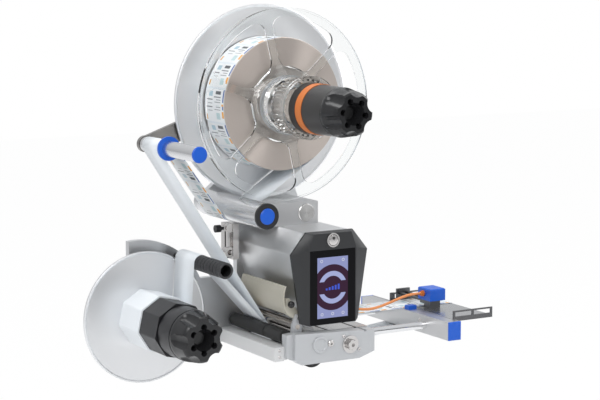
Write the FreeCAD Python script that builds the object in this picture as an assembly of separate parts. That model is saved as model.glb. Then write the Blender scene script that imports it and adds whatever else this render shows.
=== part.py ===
"""Label applicator head of a bottle labelling machine.

Front view: +X runs towards the peel plate, +Z is up and the operator stands on
the -Y side.  Every reel and roller turns about an axis along Y and is carried
by one profiled frame plate.  The origin lies on the rear mounting face of that
plate, at the centre of its four mounting holes.
"""
import FreeCAD, Part
import math
import os

Vector = FreeCAD.Vector

# ------------------------------------------------------------- driving sizes
# frame plate, its outline and the mounting holes in it
PLATE_T = 12.0
MOUNT_SPACING_X = 100.0
MOUNT_SPACING_Z = 70.0
MOUNT_HOLE_R = 4.5
PLATE_TOP_LOBE_R = 62.0
PLATE_IDLER_LOBE_R = 17.0
PLATE_LEFT_ARC_R = 118.5
PLATE_LEFT_CUT = 16.5
PLATE_WAIST_X = -66.0
PLATE_WAIST_Z = -4.0
PLATE_SHOULDER_Z = 84.0
PLATE_RIGHT_X = 78.0
PLATE_BOTTOM_Z = -112.0

# rollers and web
ROLLER_GAP = 4.0
ROLLER_L = 190.0
WEB_W = 65.0
WEB_REAR_Y = -37.0
WEB_T = 0.4
WEB_GAP = 0.3
RUN_CLEAR = 0.05
JOURNAL_R = 6.0

# unwinder
SUPPLY_X = -31.5
SUPPLY_Z = 277.0
REAR_FLANGE_R = 155.0
REAR_FLANGE_T = 3.0
REAR_FLANGE_Y = -34.0
CLEAR_FLANGE_R = 151.0
CLEAR_FLANGE_T = 4.0
CLEAR_FLANGE_Y = -104.0
WINDOW_COUNT = 6
WINDOW_INNER_R = 57.0
WINDOW_OUTER_R = 137.0
WINDOW_RIB_W = 14.0
WINDOW_INNER_FILLET = 24.0
WINDOW_OUTER_FILLET = 16.0
WINDOW_TURN = 13.0
FLANGE_BORE_R = 30.15
LABEL_ROLL_R = 104.5
CORE_R = 38.0
CORE_WALL = 4.0
HUB_L = 80.0
HUB_R = 44.0
HUB_RIBS = 30
SLEEVE_R = 38.0
SLEEVE_L = 88.0
BLACK_RING_L = 18.0
ORANGE_RING_L = 17.0
SPINDLE_R = 12.5
KNOB_R = 38.0
KNOB_L = 38.0
KNOB_LOBES = 6
KNOB_TIP_R = 32.5
KNOB_SCOOP_R = 15.0
KNOB_HOLLOW_R = 17.0
SUPPLY_KNOB_TURN = -8.0
REWIND_KNOB_TURN = 30.0

# dancer
DANCER_X = -232.0
DANCER_Z = 218.0
DANCER_R = 12.0
DANCER_ARM_T = 8.0
DANCER_ARM_W = 26.0
GUIDE_RING_R = 18.5
GUIDE_RING_W = 4.0

# idler, knurled roller, feed roller, rubber roller, drive roller
IDLER_X = -120.0
IDLER_Z = 119.0
IDLER_R = 20.0
KNURL_X = -176.0
KNURL_Z = 37.0
KNURL_R = 12.5
KNURL_L = 145.0
FEED_X = -53.0
FEED_Z = -61.3
FEED_R = 9.0
RUBBER_X = -71.5
RUBBER_Z = -76.0
RUBBER_R = 10.5
RUBBER_GAP = 3.0
DRIVE_X = -26.0
DRIVE_Z = -106.0
DRIVE_R = 22.0

# rewinder
REWIND_X = -240.5
REWIND_Z = -53.0
REWIND_FLANGE_R = 104.0
REWIND_FLANGE_Y = -34.0
MANDREL_R = 44.0
MANDREL_SIDES = 8
MANDREL_L = 124.0
MANDREL_SLEEVE_R = 39.5
MANDREL_SLEEVE_L = 38.0
LINER_COIL_T = 2.5
REWIND_KNOB_R = 39.0

# drive and display housing
HOUSING_TOP_W = 84.0
HOUSING_SHOULDER_W = 138.0
HOUSING_BOTTOM_W = 104.0
HOUSING_FOOT_W = 78.0
HOUSING_TOP_Z = 86.0
HOUSING_SHOULDER_Z = 53.0
HOUSING_BOTTOM_Z = -56.0
DISPLAY_Y = -202.0
BEZEL_DEPTH = 14.0
GLASS_W = 82.0
GLASS_H = 116.0
GLASS_T = 3.0
BUTTON_Z = 73.0
BUTTON_R = 8.5
BUTTON_TRAVEL = 3.0
UPPER_BLOCK_W = 100.0
UPPER_BLOCK_L = 90.0
UPPER_BLOCK_H = 36.0

# table, bearing block, beam and peel plate
TABLE_Z = -71.0
TABLE_T = 8.0
TABLE_LEFT_X = -36.0
BLOCK_LEFT_X = -82.0
BLOCK_RIGHT_X = 74.0
BLOCK_T = 20.0
BLOCK_FRONT_Y = -207.0
BLOCK_TOP_Z = -74.0
BLOCK_BOTTOM_Z = -117.0
BAR_W = 26.0
BAR_H = 22.0
LEFT_BAR_X = -99.0
RIGHT_BAR_X = 46.0
ROD_R = 6.0
ROD_Z = -87.0
FRONT_ROD_Y = -167.0
REAR_ROD_Y = -24.0
BEAM_X = 197.0
BEAM_W = 23.0
BEAM_H = 30.0
BEAM_FRONT_Y = -232.0
BEAM_REAR_Y = 24.0
CAP_T = 4.0
PEEL_L = 76.0
PEEL_T = 5.0
PEEL_FRONT_Y = -211.0
PEEL_REAR_Y = -30.0
FENCE_H = 17.0
FENCE_T = 2.0
FENCE_RIM = 2.5

# label sensor and its cable
SENSOR_INSET = 11.0
SENSOR_W = 30.0
SENSOR_D = 36.0
SENSOR_H = 20.0
SENSOR_REAR_Y = -96.0
SENSOR_Z = -58.0
GLAND_REACH = 6.5
CABLE_R = 2.2
CABLE_ROUTE = [
    (224.5, -113.5, -46.5),
    (205.0, -117.0, -45.0),
    (182.0, -121.0, -47.5),
    (158.0, -125.5, -52.5),
    (134.0, -130.0, -57.0),
    (110.0, -136.0, -58.0),
    (86.0, -142.0, -54.5),
    (66.0, -146.5, -49.0),
]

# infeed guard
GUARD_T = 3.0
GUARD_FRONT_Y = -179.5
GUARD_REAR_Y = -44.0
GUARD_PIVOT_X = -50.5
GUARD_PIVOT_Z = -46.5
EAR_T = 5.0

# fittings beside the housing
FITTING_X = -96.0
FITTING_Z = 62.0


# ------------------------------------------------------------------- helpers
def cylinder(x, z, radius, y_front, y_rear):
    """Solid cylinder along Y between two Y stations."""
    return Part.makeCylinder(radius, y_rear - y_front, Vector(x, y_front, z), Vector(0, 1, 0))


def tube(x, z, outer, inner, y_front, y_rear):
    """Hollow cylinder along Y."""
    return cylinder(x, z, outer, y_front, y_rear).cut(cylinder(x, z, inner, y_front - 1, y_rear + 1))


def box(x0, x1, y0, y1, z0, z1):
    """Axis-aligned block between three pairs of limits."""
    return Part.makeBox(x1 - x0, y1 - y0, z1 - z0, Vector(x0, y0, z0))


def prism(outline, y_front, y_rear):
    """Straight-edged outline in (X, Z), extruded along Y."""
    points = [Vector(x, y_front, z) for x, z in outline]
    wire = Part.makePolygon(points + [points[0]])
    return Part.Face(wire).extrude(Vector(0, y_rear - y_front, 0))


def revolve_about_y(profile, x, z):
    """Turned solid: profile is a closed outline of (radius, y) points."""
    points = [Vector(x + radius, y, z) for radius, y in profile]
    wire = Part.makePolygon(points + [points[0]])
    return Part.Face(wire).revolve(Vector(x, 0, z), Vector(0, 1, 0), 360)


def fillet_along_y(shape, radius, keep=None):
    """Round the edges that run along Y, or those of them that keep() accepts."""
    edges = []
    for edge in shape.Edges:
        start = edge.Vertexes[0].Point
        end = edge.Vertexes[-1].Point
        straight = abs(start.x - end.x) < 1e-6 and abs(start.z - end.z) < 1e-6
        if straight and (keep is None or keep(start.x, start.z)):
            edges.append(edge)
    return shape.makeFillet(radius, edges)


def polar(x, z, radius, degrees):
    """Point at an angle from +X towards +Z about a centre."""
    angle = math.radians(degrees)
    return (x + radius * math.cos(angle), z + radius * math.sin(angle))


def regular_polygon(x, z, radius, sides, turn):
    """Corner points of a regular polygon."""
    return [polar(x, z, radius, turn + 360.0 * i / sides) for i in range(sides)]


def arc_edge(x, z, radius, start_deg, end_deg, y):
    """Arc in an XZ plane from one angle to another."""
    stations = []
    for degrees in (start_deg, (start_deg + end_deg) / 2, end_deg):
        px, pz = polar(x, z, radius, degrees)
        stations.append(Vector(px, y, pz))
    return Part.Arc(*stations).toShape()


# --------------------------------------------------------- web strip geometry
def tangent_normal(first, second):
    """Unit left normal of the tangent from one roller circle to the next.

    A circle is (x, z, radius, turn): turn is +1 where the web runs round it
    counter-clockwise in the front view, and -1 where it runs clockwise.
    """
    dx = second[0] - first[0]
    dz = second[1] - first[1]
    reach = math.hypot(dx, dz)
    slip = math.asin((second[3] * second[2] - first[3] * first[2]) / reach)
    heading = math.atan2(dz, dx) - slip
    return (-math.sin(heading), math.cos(heading))


def strip(circles, y_front, y_rear):
    """Thin closed solid that follows the tangents and wraps of a row of circles.

    The first and last circles only give the free ends.
    """
    normals = [tangent_normal(circles[i], circles[i + 1]) for i in range(len(circles) - 1)]
    sides = []
    for side in (WEB_T / 2, -WEB_T / 2):
        edges = []
        last = None
        for i, circle in enumerate(circles):
            x, z, radius, turn = circle
            rim = radius - turn * side
            ends = []
            for index in (i - 1, i):
                if 0 <= index < len(normals):
                    nx, nz = normals[index]
                    ends.append((x - turn * rim * nx, z - turn * rim * nz))
            entry = Vector(ends[0][0], y_front, ends[0][1])
            if last is not None:
                edges.append(Part.LineSegment(last, entry).toShape())
            last = entry
            if len(ends) == 2:
                leave = Vector(ends[1][0], y_front, ends[1][1])
                entry_deg = math.degrees(math.atan2(entry.z - z, entry.x - x))
                leave_deg = math.degrees(math.atan2(leave.z - z, leave.x - x))
                while turn * (leave_deg - entry_deg) < 0:
                    leave_deg += turn * 360.0
                if abs(leave_deg - entry_deg) > 0.5:
                    edges.append(arc_edge(x, z, rim, entry_deg, leave_deg, y_front))
                else:
                    edges.append(Part.LineSegment(entry, leave).toShape())
                last = leave
        sides.append(edges)
    left, right = sides
    start_cap = Part.LineSegment(right[0].Vertexes[0].Point, left[0].Vertexes[0].Point).toShape()
    end_cap = Part.LineSegment(left[-1].Vertexes[-1].Point, right[-1].Vertexes[-1].Point).toShape()
    wire = Part.Wire(Part.__sortEdges__(left + right + [start_cap, end_cap]))
    return Part.Face(wire).extrude(Vector(0, y_rear - y_front, 0))


def web_circle(x, z, radius, turn):
    """Centreline circle of a web that touches a roller from outside."""
    return (x, z, radius + WEB_GAP + WEB_T / 2, turn)


# -------------------------------------------------------------- derived sizes
PLATE_FRONT_Y = -PLATE_T
ROLLER_REAR_Y = PLATE_FRONT_Y - ROLLER_GAP
ROLLER_FRONT_Y = ROLLER_REAR_Y - ROLLER_L
WEB_FRONT_Y = WEB_REAR_Y - WEB_W
BLOCK_REAR_Y = BLOCK_FRONT_Y + BLOCK_T
BEAM_TOP_Z = TABLE_Z - 0.5
PEEL_X0 = BEAM_X + BEAM_W
PEEL_X1 = PEEL_X0 + PEEL_L
SENSOR_X = PEEL_X0 + SENSOR_INSET
HUB_FRONT_Y = CLEAR_FLANGE_Y - CLEAR_FLANGE_T - HUB_L
SLEEVE_FRONT_Y = HUB_FRONT_Y - SLEEVE_L
MANDREL_FRONT_Y = REWIND_FLANGE_Y - MANDREL_L
REWIND_KNOB_Y = MANDREL_FRONT_Y - MANDREL_SLEEVE_L
IDLER_CIRCLE = web_circle(IDLER_X, IDLER_Z, IDLER_R, -1)
DANCER_CIRCLE = web_circle(DANCER_X, DANCER_Z, DANCER_R, 1)
FEED_CIRCLE = web_circle(FEED_X, FEED_Z, FEED_R, 1)
RUBBER_CIRCLE = web_circle(RUBBER_X, RUBBER_Z, RUBBER_R, 1)
DRIVE_CIRCLE = web_circle(DRIVE_X, DRIVE_Z, DRIVE_R, -1)
KNURL_CIRCLE = web_circle(KNURL_X, KNURL_Z, KNURL_R, 1)
ROLL_CIRCLE = web_circle(SUPPLY_X, SUPPLY_Z, LABEL_ROLL_R, -1)
COIL_CIRCLE = web_circle(REWIND_X, REWIND_Z, MANDREL_R + LINER_COIL_T, -1)


# --------------------------------------------------------------------- frame
def frame_plate():
    """Profiled carrier plate: arc behind the rewinder, waist, arm to the unwinder."""
    left_x = REWIND_X - PLATE_LEFT_CUT
    half_chord = math.degrees(math.acos(-PLATE_LEFT_CUT / PLATE_LEFT_ARC_R))
    meet_deg = math.degrees(math.asin((PLATE_WAIST_Z - REWIND_Z) / PLATE_LEFT_ARC_R))
    arc_start = polar(REWIND_X, REWIND_Z, PLATE_LEFT_ARC_R, half_chord)
    arc_end = polar(REWIND_X, REWIND_Z, PLATE_LEFT_ARC_R, meet_deg)
    y = PLATE_FRONT_Y
    outline = [arc_edge(REWIND_X, REWIND_Z, PLATE_LEFT_ARC_R, half_chord, meet_deg, y)]
    corners = [
        arc_end,
        (PLATE_WAIST_X, PLATE_WAIST_Z),
        (PLATE_WAIST_X, PLATE_SHOULDER_Z),
        (PLATE_WAIST_X, PLATE_SHOULDER_Z + 30),
        (SUPPLY_X - 40, SUPPLY_Z - 50),
        (SUPPLY_X + 40, SUPPLY_Z - 50),
        (PLATE_RIGHT_X - 30, PLATE_SHOULDER_Z + 30),
        (PLATE_RIGHT_X - 20, PLATE_SHOULDER_Z - 4),
        (PLATE_RIGHT_X, PLATE_SHOULDER_Z - 40),
        (PLATE_RIGHT_X, PLATE_BOTTOM_Z + 18),
        (PLATE_RIGHT_X - 18, PLATE_BOTTOM_Z),
        (REWIND_X + 60, PLATE_BOTTOM_Z),
        (left_x, REWIND_Z - 30),
        arc_start,
    ]
    for start, end in zip(corners, corners[1:]):
        outline.append(Part.LineSegment(Vector(start[0], y, start[1]), Vector(end[0], y, end[1])).toShape())
    face = Part.Face(Part.Wire(Part.__sortEdges__(outline)))
    plate = face.extrude(Vector(0, PLATE_T, 0))
    lobes = [
        cylinder(SUPPLY_X, SUPPLY_Z, PLATE_TOP_LOBE_R, y, 0),
        cylinder(IDLER_X, IDLER_Z, PLATE_IDLER_LOBE_R, y, 0),
        cylinder(REWIND_X, REWIND_Z, 46, y, 0),
        prism([
            (IDLER_X, IDLER_Z - PLATE_IDLER_LOBE_R),
            (PLATE_WAIST_X, PLATE_SHOULDER_Z),
            (PLATE_WAIST_X, IDLER_Z + 60),
            (IDLER_X, IDLER_Z + PLATE_IDLER_LOBE_R),
        ], y, 0),
    ]
    plate = plate.fuse(lobes).removeSplitter()
    bores = [
        cylinder(IDLER_X, IDLER_Z, JOURNAL_R + RUN_CLEAR, y - 1, 1),
        cylinder(KNURL_X, KNURL_Z, 4 + RUN_CLEAR, y - 1, 1),
        cylinder(FEED_X, FEED_Z, 4 + RUN_CLEAR, y - 1, 1),
        cylinder(RUBBER_X, RUBBER_Z, 4 + RUN_CLEAR, y - 1, 1),
        cylinder(DRIVE_X, DRIVE_Z, 5 + RUN_CLEAR, y - 1, 1),
        cylinder(SUPPLY_X, SUPPLY_Z, SPINDLE_R, y - 1, 1),
        cylinder(REWIND_X, REWIND_Z, SPINDLE_R, y - 1, 1),
    ]
    return plate.cut(bores + mount_bores(MOUNT_HOLE_R, y - 1, 1))


def mount_bores(radius, y_front, y_rear):
    """Cutting cylinders on the four mounting hole centres."""
    bores = []
    for x in (-MOUNT_SPACING_X / 2, MOUNT_SPACING_X / 2):
        for z in (-MOUNT_SPACING_Z / 2, MOUNT_SPACING_Z / 2):
            bores.append(cylinder(x, z, radius, y_front, y_rear))
    return bores


def housing_outline(inset, bottom_width):
    """Coffin-shaped section of the housing and of the display bezel."""
    top = HOUSING_TOP_W / 2 - inset
    shoulder = HOUSING_SHOULDER_W / 2 - inset
    bottom = bottom_width / 2 - inset
    return [
        (-top, HOUSING_TOP_Z - inset),
        (-shoulder, HOUSING_SHOULDER_Z),
        (-bottom, HOUSING_BOTTOM_Z + inset),
        (bottom, HOUSING_BOTTOM_Z + inset),
        (shoulder, HOUSING_SHOULDER_Z),
        (top, HOUSING_TOP_Z - inset),
    ]


def display_housing():
    """Aluminium drive housing between the frame plate and the bezel."""
    body = prism(housing_outline(1.5, HOUSING_FOOT_W), DISPLAY_Y + BEZEL_DEPTH, PLATE_FRONT_Y)
    body = fillet_along_y(body, 3.0)
    port = Part.makeCylinder(CABLE_R + 1.2, 30, Vector(*CABLE_ROUTE[-1]), cable_exit_direction())
    pockets = mount_bores(MOUNT_HOLE_R + 1.5, PLATE_FRONT_Y - 12, PLATE_FRONT_Y + 1)
    return body.cut([port] + pockets)


def cable_exit_direction():
    """Direction in which the cable enters the housing wall."""
    last = Vector(*CABLE_ROUTE[-1])
    before = Vector(*CABLE_ROUTE[-2])
    return (last - before).normalize()


def bezel():
    """Moulded display hood: flat face, four sloping facets and a glass recess."""
    y_back = DISPLAY_Y + BEZEL_DEPTH
    back = prism_wire(housing_outline(0, HOUSING_BOTTOM_W), y_back)
    step = prism_wire(housing_outline(0, HOUSING_BOTTOM_W), y_back - 4)
    face_top = HOUSING_TOP_Z - 2
    half = GLASS_W / 2 + 0.8
    front = prism_wire([
        (-half + 8, face_top),
        (-half - 1, HOUSING_SHOULDER_Z + 6),
        (-half, HOUSING_BOTTOM_Z - 2.5),
        (half, HOUSING_BOTTOM_Z - 2.5),
        (half + 1, HOUSING_SHOULDER_Z + 6),
        (half - 8, face_top),
    ], DISPLAY_Y)
    rim = Part.Face(back).extrude(Vector(0, -4, 0))
    hood = Part.makeLoft([step, front], True, True)
    body = rim.fuse(hood).removeSplitter()
    half_h = GLASS_H / 2
    recess = box(-GLASS_W / 2, GLASS_W / 2, DISPLAY_Y - 1, DISPLAY_Y + GLASS_T, -half_h, half_h)
    button_bore = cylinder(0, BUTTON_Z, BUTTON_R + 0.4, DISPLAY_Y - 1, DISPLAY_Y + 11)
    return body.cut([recess, button_bore])


def prism_wire(outline, y):
    """Closed wire through (X, Z) corners at one Y station."""
    points = [Vector(x, y, z) for x, z in outline]
    return Part.makePolygon(points + [points[0]])


def screen_glass():
    """Cover glass set flush into the bezel."""
    half_h = GLASS_H / 2 - 0.2
    half_w = GLASS_W / 2 - 0.2
    return box(-half_w, half_w, DISPLAY_Y + 0.3, DISPLAY_Y + GLASS_T, -half_h, half_h)


def button_ring():
    """Raised ring round the push button."""
    return tube(0, BUTTON_Z, BUTTON_R + 2.6, BUTTON_R + 0.4, DISPLAY_Y - 2, DISPLAY_Y)


def push_button():
    """Round push button, domed at the front."""
    front = DISPLAY_Y - 2.5
    profile = [
        (0, front - 1.2),
        (BUTTON_R - 3, front - 0.8),
        (BUTTON_R - 0.5, front),
        (BUTTON_R, front + 0.8),
        (BUTTON_R, DISPLAY_Y + 11 - BUTTON_TRAVEL - 0.6),
        (0, DISPLAY_Y + 11 - BUTTON_TRAVEL - 0.6),
    ]
    return revolve_about_y(profile, 0, BUTTON_Z)


def upper_block():
    """Hollow carrier block on the housing, closed at its front."""
    z0 = HOUSING_TOP_Z - 1.5
    x1 = UPPER_BLOCK_W * 0.33
    x0 = x1 - UPPER_BLOCK_W
    y0 = PLATE_FRONT_Y - UPPER_BLOCK_L
    block = box(x0, x1, y0, PLATE_FRONT_Y, z0, z0 + UPPER_BLOCK_H)
    block = fillet_along_y(block, 2.0)
    pocket = box(x0 + 8, x1 - 8, y0 + 10, PLATE_FRONT_Y + 1, z0 + 8, z0 + UPPER_BLOCK_H - 8)
    bore = cylinder(x1 - 22, z0 + UPPER_BLOCK_H / 2, 11, y0 - 1, y0 + 8)
    return block.cut([pocket, bore])


def pivot_plug():
    """Turned stud with a broad face in the front of the carrier block."""
    z = HOUSING_TOP_Z - 1.5 + UPPER_BLOCK_H / 2
    x = UPPER_BLOCK_W * 0.33 - 22
    y0 = PLATE_FRONT_Y - UPPER_BLOCK_L
    profile = [
        (0, y0 - 2.0), (13.5, y0 - 2.0), (14.5, y0 - 1.0), (14.5, y0),
        (10.95, y0), (10.95, y0 + 8), (0, y0 + 8),
    ]
    return revolve_about_y(profile, x, z)


def bearing_block():
    """Front bearing block of the roller bed with chamfered lower corners."""
    block = prism([
        (BLOCK_LEFT_X + 12, BLOCK_TOP_Z + 6),
        (BLOCK_RIGHT_X, BLOCK_TOP_Z),
        (BLOCK_RIGHT_X, BLOCK_BOTTOM_Z + 9),
        (BLOCK_RIGHT_X - 28, BLOCK_BOTTOM_Z),
        (BLOCK_LEFT_X + 24, BLOCK_BOTTOM_Z),
        (BLOCK_LEFT_X + 12, BLOCK_BOTTOM_Z + 8),
    ], BLOCK_FRONT_Y, BLOCK_REAR_Y)
    cheek = prism([
        (BLOCK_LEFT_X, BLOCK_TOP_Z + 5),
        (BLOCK_LEFT_X + 12, BLOCK_TOP_Z + 6),
        (BLOCK_LEFT_X + 12, BLOCK_BOTTOM_Z + 8),
        (BLOCK_LEFT_X, BLOCK_BOTTOM_Z + 12),
    ], BLOCK_FRONT_Y + 6, BLOCK_REAR_Y)
    body = block.fuse(cheek).removeSplitter()
    notch = prism([
        (BLOCK_RIGHT_X - 20, BLOCK_TOP_Z + 2),
        (BLOCK_RIGHT_X - 20, BLOCK_TOP_Z - 2),
        (BLOCK_RIGHT_X - 15, BLOCK_TOP_Z - 2),
        (BLOCK_RIGHT_X - 15, BLOCK_TOP_Z + 2),
    ], BLOCK_FRONT_Y - 1, BLOCK_REAR_Y + 1)
    blind = BLOCK_REAR_Y - 12
    bores = [
        notch,
        cylinder(DRIVE_X, DRIVE_Z, 5 + RUN_CLEAR, blind, BLOCK_REAR_Y + 1),
        cylinder(DRIVE_X, BLOCK_TOP_Z - 14, 12, BLOCK_FRONT_Y - 1, BLOCK_FRONT_Y + 4),
        cylinder(BLOCK_RIGHT_X - 45, BLOCK_TOP_Z - 19, 5, BLOCK_FRONT_Y - 1, BLOCK_FRONT_Y + 8),
    ]
    ear = prism([
        (FEED_X - 12, BLOCK_TOP_Z - 4),
        (FEED_X - 9, FEED_Z + 4),
        (GUARD_PIVOT_X - 5, GUARD_PIVOT_Z + 5),
        (GUARD_PIVOT_X + 4, GUARD_PIVOT_Z + 5),
        (GUARD_PIVOT_X + 5, BLOCK_TOP_Z - 4),
    ], BLOCK_REAR_Y + 2, BLOCK_REAR_Y + 2 + EAR_T)
    foot = box(FEED_X - 12, GUARD_PIVOT_X + 5, BLOCK_REAR_Y - 1, BLOCK_REAR_Y + 2 + EAR_T, BLOCK_TOP_Z - 16, BLOCK_TOP_Z - 4)
    bores.append(cylinder(GUARD_PIVOT_X, GUARD_PIVOT_Z, 3, BLOCK_REAR_Y, BLOCK_REAR_Y + 20))
    bores.append(cylinder(FEED_X, FEED_Z, 4 + RUN_CLEAR, BLOCK_REAR_Y, BLOCK_REAR_Y + 20))
    bores.append(cylinder(RUBBER_X, RUBBER_Z, 4 + RUN_CLEAR, BLOCK_REAR_Y - 12, BLOCK_REAR_Y + 20))
    return body.fuse([ear, foot]).cut(bores)


def bearing_cap():
    """Round shaft cap in the face of the bearing block."""
    y = BLOCK_FRONT_Y
    profile = [
        (0, y - 1.0), (9.5, y - 1.0), (10.5, y - 2.5), (12.6, y - 2.5), (13.2, y - 1.5),
        (13.2, y), (11.95, y), (11.95, y + 4), (0, y + 4),
    ]
    return revolve_about_y(profile, DRIVE_X, BLOCK_TOP_Z - 14)


def adjuster_bolt():
    """Lobed adjusting screw with its broad washer."""
    x = BLOCK_RIGHT_X - 45
    z = BLOCK_TOP_Z - 19
    y = BLOCK_FRONT_Y
    washer = cylinder(x, z, 14, y - 2, y)
    head = cylinder(x, z, 8.5, y - 9, y - 2)
    for px, pz in regular_polygon(x, z, 10.3, 6, 15):
        head = head.cut(cylinder(px, pz, 3.0, y - 10, y - 2))
    shank = cylinder(x, z, 4.95, y, y + 7)
    socket = cylinder(x, z, 3, y - 10, y - 5)
    return washer.fuse([head, shank]).cut(socket)


def roller_bed_bars():
    """The two bars that carry the bearing block on the frame plate."""
    left = box(LEFT_BAR_X, LEFT_BAR_X + BAR_W, BLOCK_REAR_Y - 6, PLATE_FRONT_Y, -110, -110 + BAR_H)
    left = left.cut(box(BLOCK_LEFT_X, 0, BLOCK_REAR_Y - 7, BLOCK_REAR_Y, -120, -60))
    right_z = ROD_Z - 12
    right = box(RIGHT_BAR_X, RIGHT_BAR_X + BAR_W, BLOCK_REAR_Y, PLATE_FRONT_Y, right_z, TABLE_Z - TABLE_T)
    rods = []
    for y in (FRONT_ROD_Y, REAR_ROD_Y):
        rods.append(rod_at(y, 0))
    return fillet_along_y(left, 1.5, lambda x, z: x < LEFT_BAR_X + 1), right.cut(rods)


def rod_at(y, grow):
    """One polished arm rod along X."""
    x0 = RIGHT_BAR_X - 4
    length = BEAM_X + BEAM_W - 1 - x0
    rod = Part.makeCylinder(ROD_R + grow, length, Vector(x0, y, ROD_Z), Vector(1, 0, 0))
    return rod


def table_plate():
    """Grooved web table on the roller bed."""
    plate = box(TABLE_LEFT_X, BLOCK_RIGHT_X - 1, BLOCK_REAR_Y, PLATE_FRONT_Y, TABLE_Z - TABLE_T, TABLE_Z - 0.5)
    plate = fillet_along_y(plate, 2.5, lambda x, z: x < 0 and z > TABLE_Z - 2)
    grooves = []
    for x in (0.0, 50.0):
        grooves.append(box(x - 2, x + 2, BLOCK_REAR_Y - 1, PLATE_FRONT_Y + 1, TABLE_Z - 5, TABLE_Z))
    return plate.cut(grooves)


def cross_beam():
    """Rectangular beam across the end of the arm, slit and bored at both rods."""
    beam = box(BEAM_X, BEAM_X + BEAM_W, BEAM_FRONT_Y, BEAM_REAR_Y, BEAM_TOP_Z - BEAM_H, BEAM_TOP_Z)
    beam = beam.cut([rod_at(FRONT_ROD_Y, 0), rod_at(REAR_ROD_Y, 0)])
    groove = box(BEAM_X + BEAM_W - 4, BEAM_X + BEAM_W - 2.4, BEAM_FRONT_Y - 1, BEAM_REAR_Y + 1, BEAM_TOP_Z - 3, BEAM_TOP_Z + 1)
    return beam.cut(groove)


def beam_caps():
    """Plastic caps on both ends of the cross beam."""
    z0 = BEAM_TOP_Z - BEAM_H
    front = box(BEAM_X, BEAM_X + BEAM_W, BEAM_FRONT_Y - CAP_T, BEAM_FRONT_Y, z0, BEAM_TOP_Z)
    rear = box(BEAM_X, BEAM_X + BEAM_W, BEAM_REAR_Y, BEAM_REAR_Y + CAP_T, z0, BEAM_TOP_Z)
    front = front.makeFillet(1.5, [e for e in front.Edges if e.BoundBox.YMax < BEAM_FRONT_Y - CAP_T + 0.1])
    rear = rear.makeFillet(1.5, [e for e in rear.Edges if e.BoundBox.YMin > BEAM_REAR_Y + CAP_T - 0.1])
    return Part.makeCompound([front, rear])


def peel_plate():
    """Peel plate: thin tongue with a sharp nose and a flange on the beam."""
    top = TABLE_Z - 0.5
    return prism([
        (PEEL_X0, top),
        (PEEL_X1 - 1.0, top),
        (PEEL_X1, top - 0.7),
        (PEEL_X1, top - 1.3),
        (PEEL_X1 - 14, top - PEEL_T),
        (PEEL_X0 + 4, top - PEEL_T),
        (PEEL_X0 + 4, top - 20),
        (PEEL_X0, top - 20),
    ], PEEL_FRONT_Y, PEEL_REAR_Y)


def edge_fence(y, x0, x1):
    """Upright guide frame with two windows along one edge of the peel plate."""
    z1 = TABLE_Z - PEEL_T + FENCE_H
    z0 = TABLE_Z - PEEL_T
    frame = box(x0, x1, y, y + FENCE_T, z0, z1)
    middle = (x0 + x1) / 2
    z_low = TABLE_Z + FENCE_RIM
    windows = []
    for a, b in ((x0 + 4, middle - 2), (middle + 2, x1 - 4)):
        windows.append(box(a, b, y - 1, y + FENCE_T + 1, z_low, z1 - FENCE_RIM))
    return frame.cut(windows)


def rear_fence():
    """Rear guide frame with the leg that also carries the sensor rods."""
    x0 = PEEL_X0 + 0.5
    fence = edge_fence(PEEL_REAR_Y, x0, PEEL_X1 - 6)
    leg = box(x0, x0 + 8, PEEL_REAR_Y, PEEL_REAR_Y + FENCE_T + 2, TABLE_Z - 16, TABLE_Z - PEEL_T + FENCE_H)
    plate_x = SENSOR_X + SENSOR_W / 2
    plate = box(plate_x - 13, plate_x + 13, PEEL_REAR_Y, PEEL_REAR_Y + FENCE_T + 2, TABLE_Z + 2, SENSOR_Z + 5)
    return fence.fuse([leg, plate]).removeSplitter()


def label_sensor():
    """Sensor head with a sloping rear and a foot over the web edge."""
    y1 = SENSOR_REAR_Y
    y0 = y1 - SENSOR_D
    x1 = SENSOR_X + SENSOR_W
    z1 = SENSOR_Z + SENSOR_H
    body = box(SENSOR_X, x1, y0, y1, SENSOR_Z, z1)
    body = body.makeChamfer(1.5, [e for e in body.Edges if e.BoundBox.ZMin > z1 - 0.1])
    foot = box(SENSOR_X + 4, x1 - 6, y0 + 6, y1, TABLE_Z - 0.5, SENSOR_Z)
    slot = box(SENSOR_X - 1, x1 + 1, WEB_FRONT_Y - 6, y1 + 1, TABLE_Z - 1, TABLE_Z + 6)
    return body, foot.cut(slot)


def sensor_rods():
    """Two rods that carry the sensor from the rear guide frame."""
    middle = SENSOR_X + SENSOR_W / 2
    rods = []
    for x in (middle - 7, middle + 7):
        rods.append(cylinder(x, SENSOR_Z - 3, 2.5, SENSOR_REAR_Y - 20, PEEL_REAR_Y))
    return rods


def cable_gland():
    """Strain relief in the left side of the sensor."""
    start = Vector(SENSOR_X - GLAND_REACH, SENSOR_REAR_Y - SENSOR_D / 2 + 0.5, SENSOR_Z + SENSOR_H / 2 + 1.5)
    toward = (Vector(*CABLE_ROUTE[0]) - Vector(*CABLE_ROUTE[1])).normalize()
    length = GLAND_REACH / toward.x + 1.0
    body = Part.makeCylinder(CABLE_R + 1.6, length, start, toward)
    nut = Part.makeCylinder(CABLE_R + 2.6, 3.0, start + toward * 2.5, toward)
    return body.fuse(nut).cut(label_sensor()[0])


def cable_grommet():
    """Rubber grommet where the cable enters the housing wall."""
    end = Vector(*CABLE_ROUTE[-1])
    direction = cable_exit_direction()
    back = Part.makeCylinder(CABLE_R + 1.15, 14, end, direction)
    lip = Part.makeCylinder(CABLE_R + 2.4, 2.5, end, direction)
    return back.fuse(lip)


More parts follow.
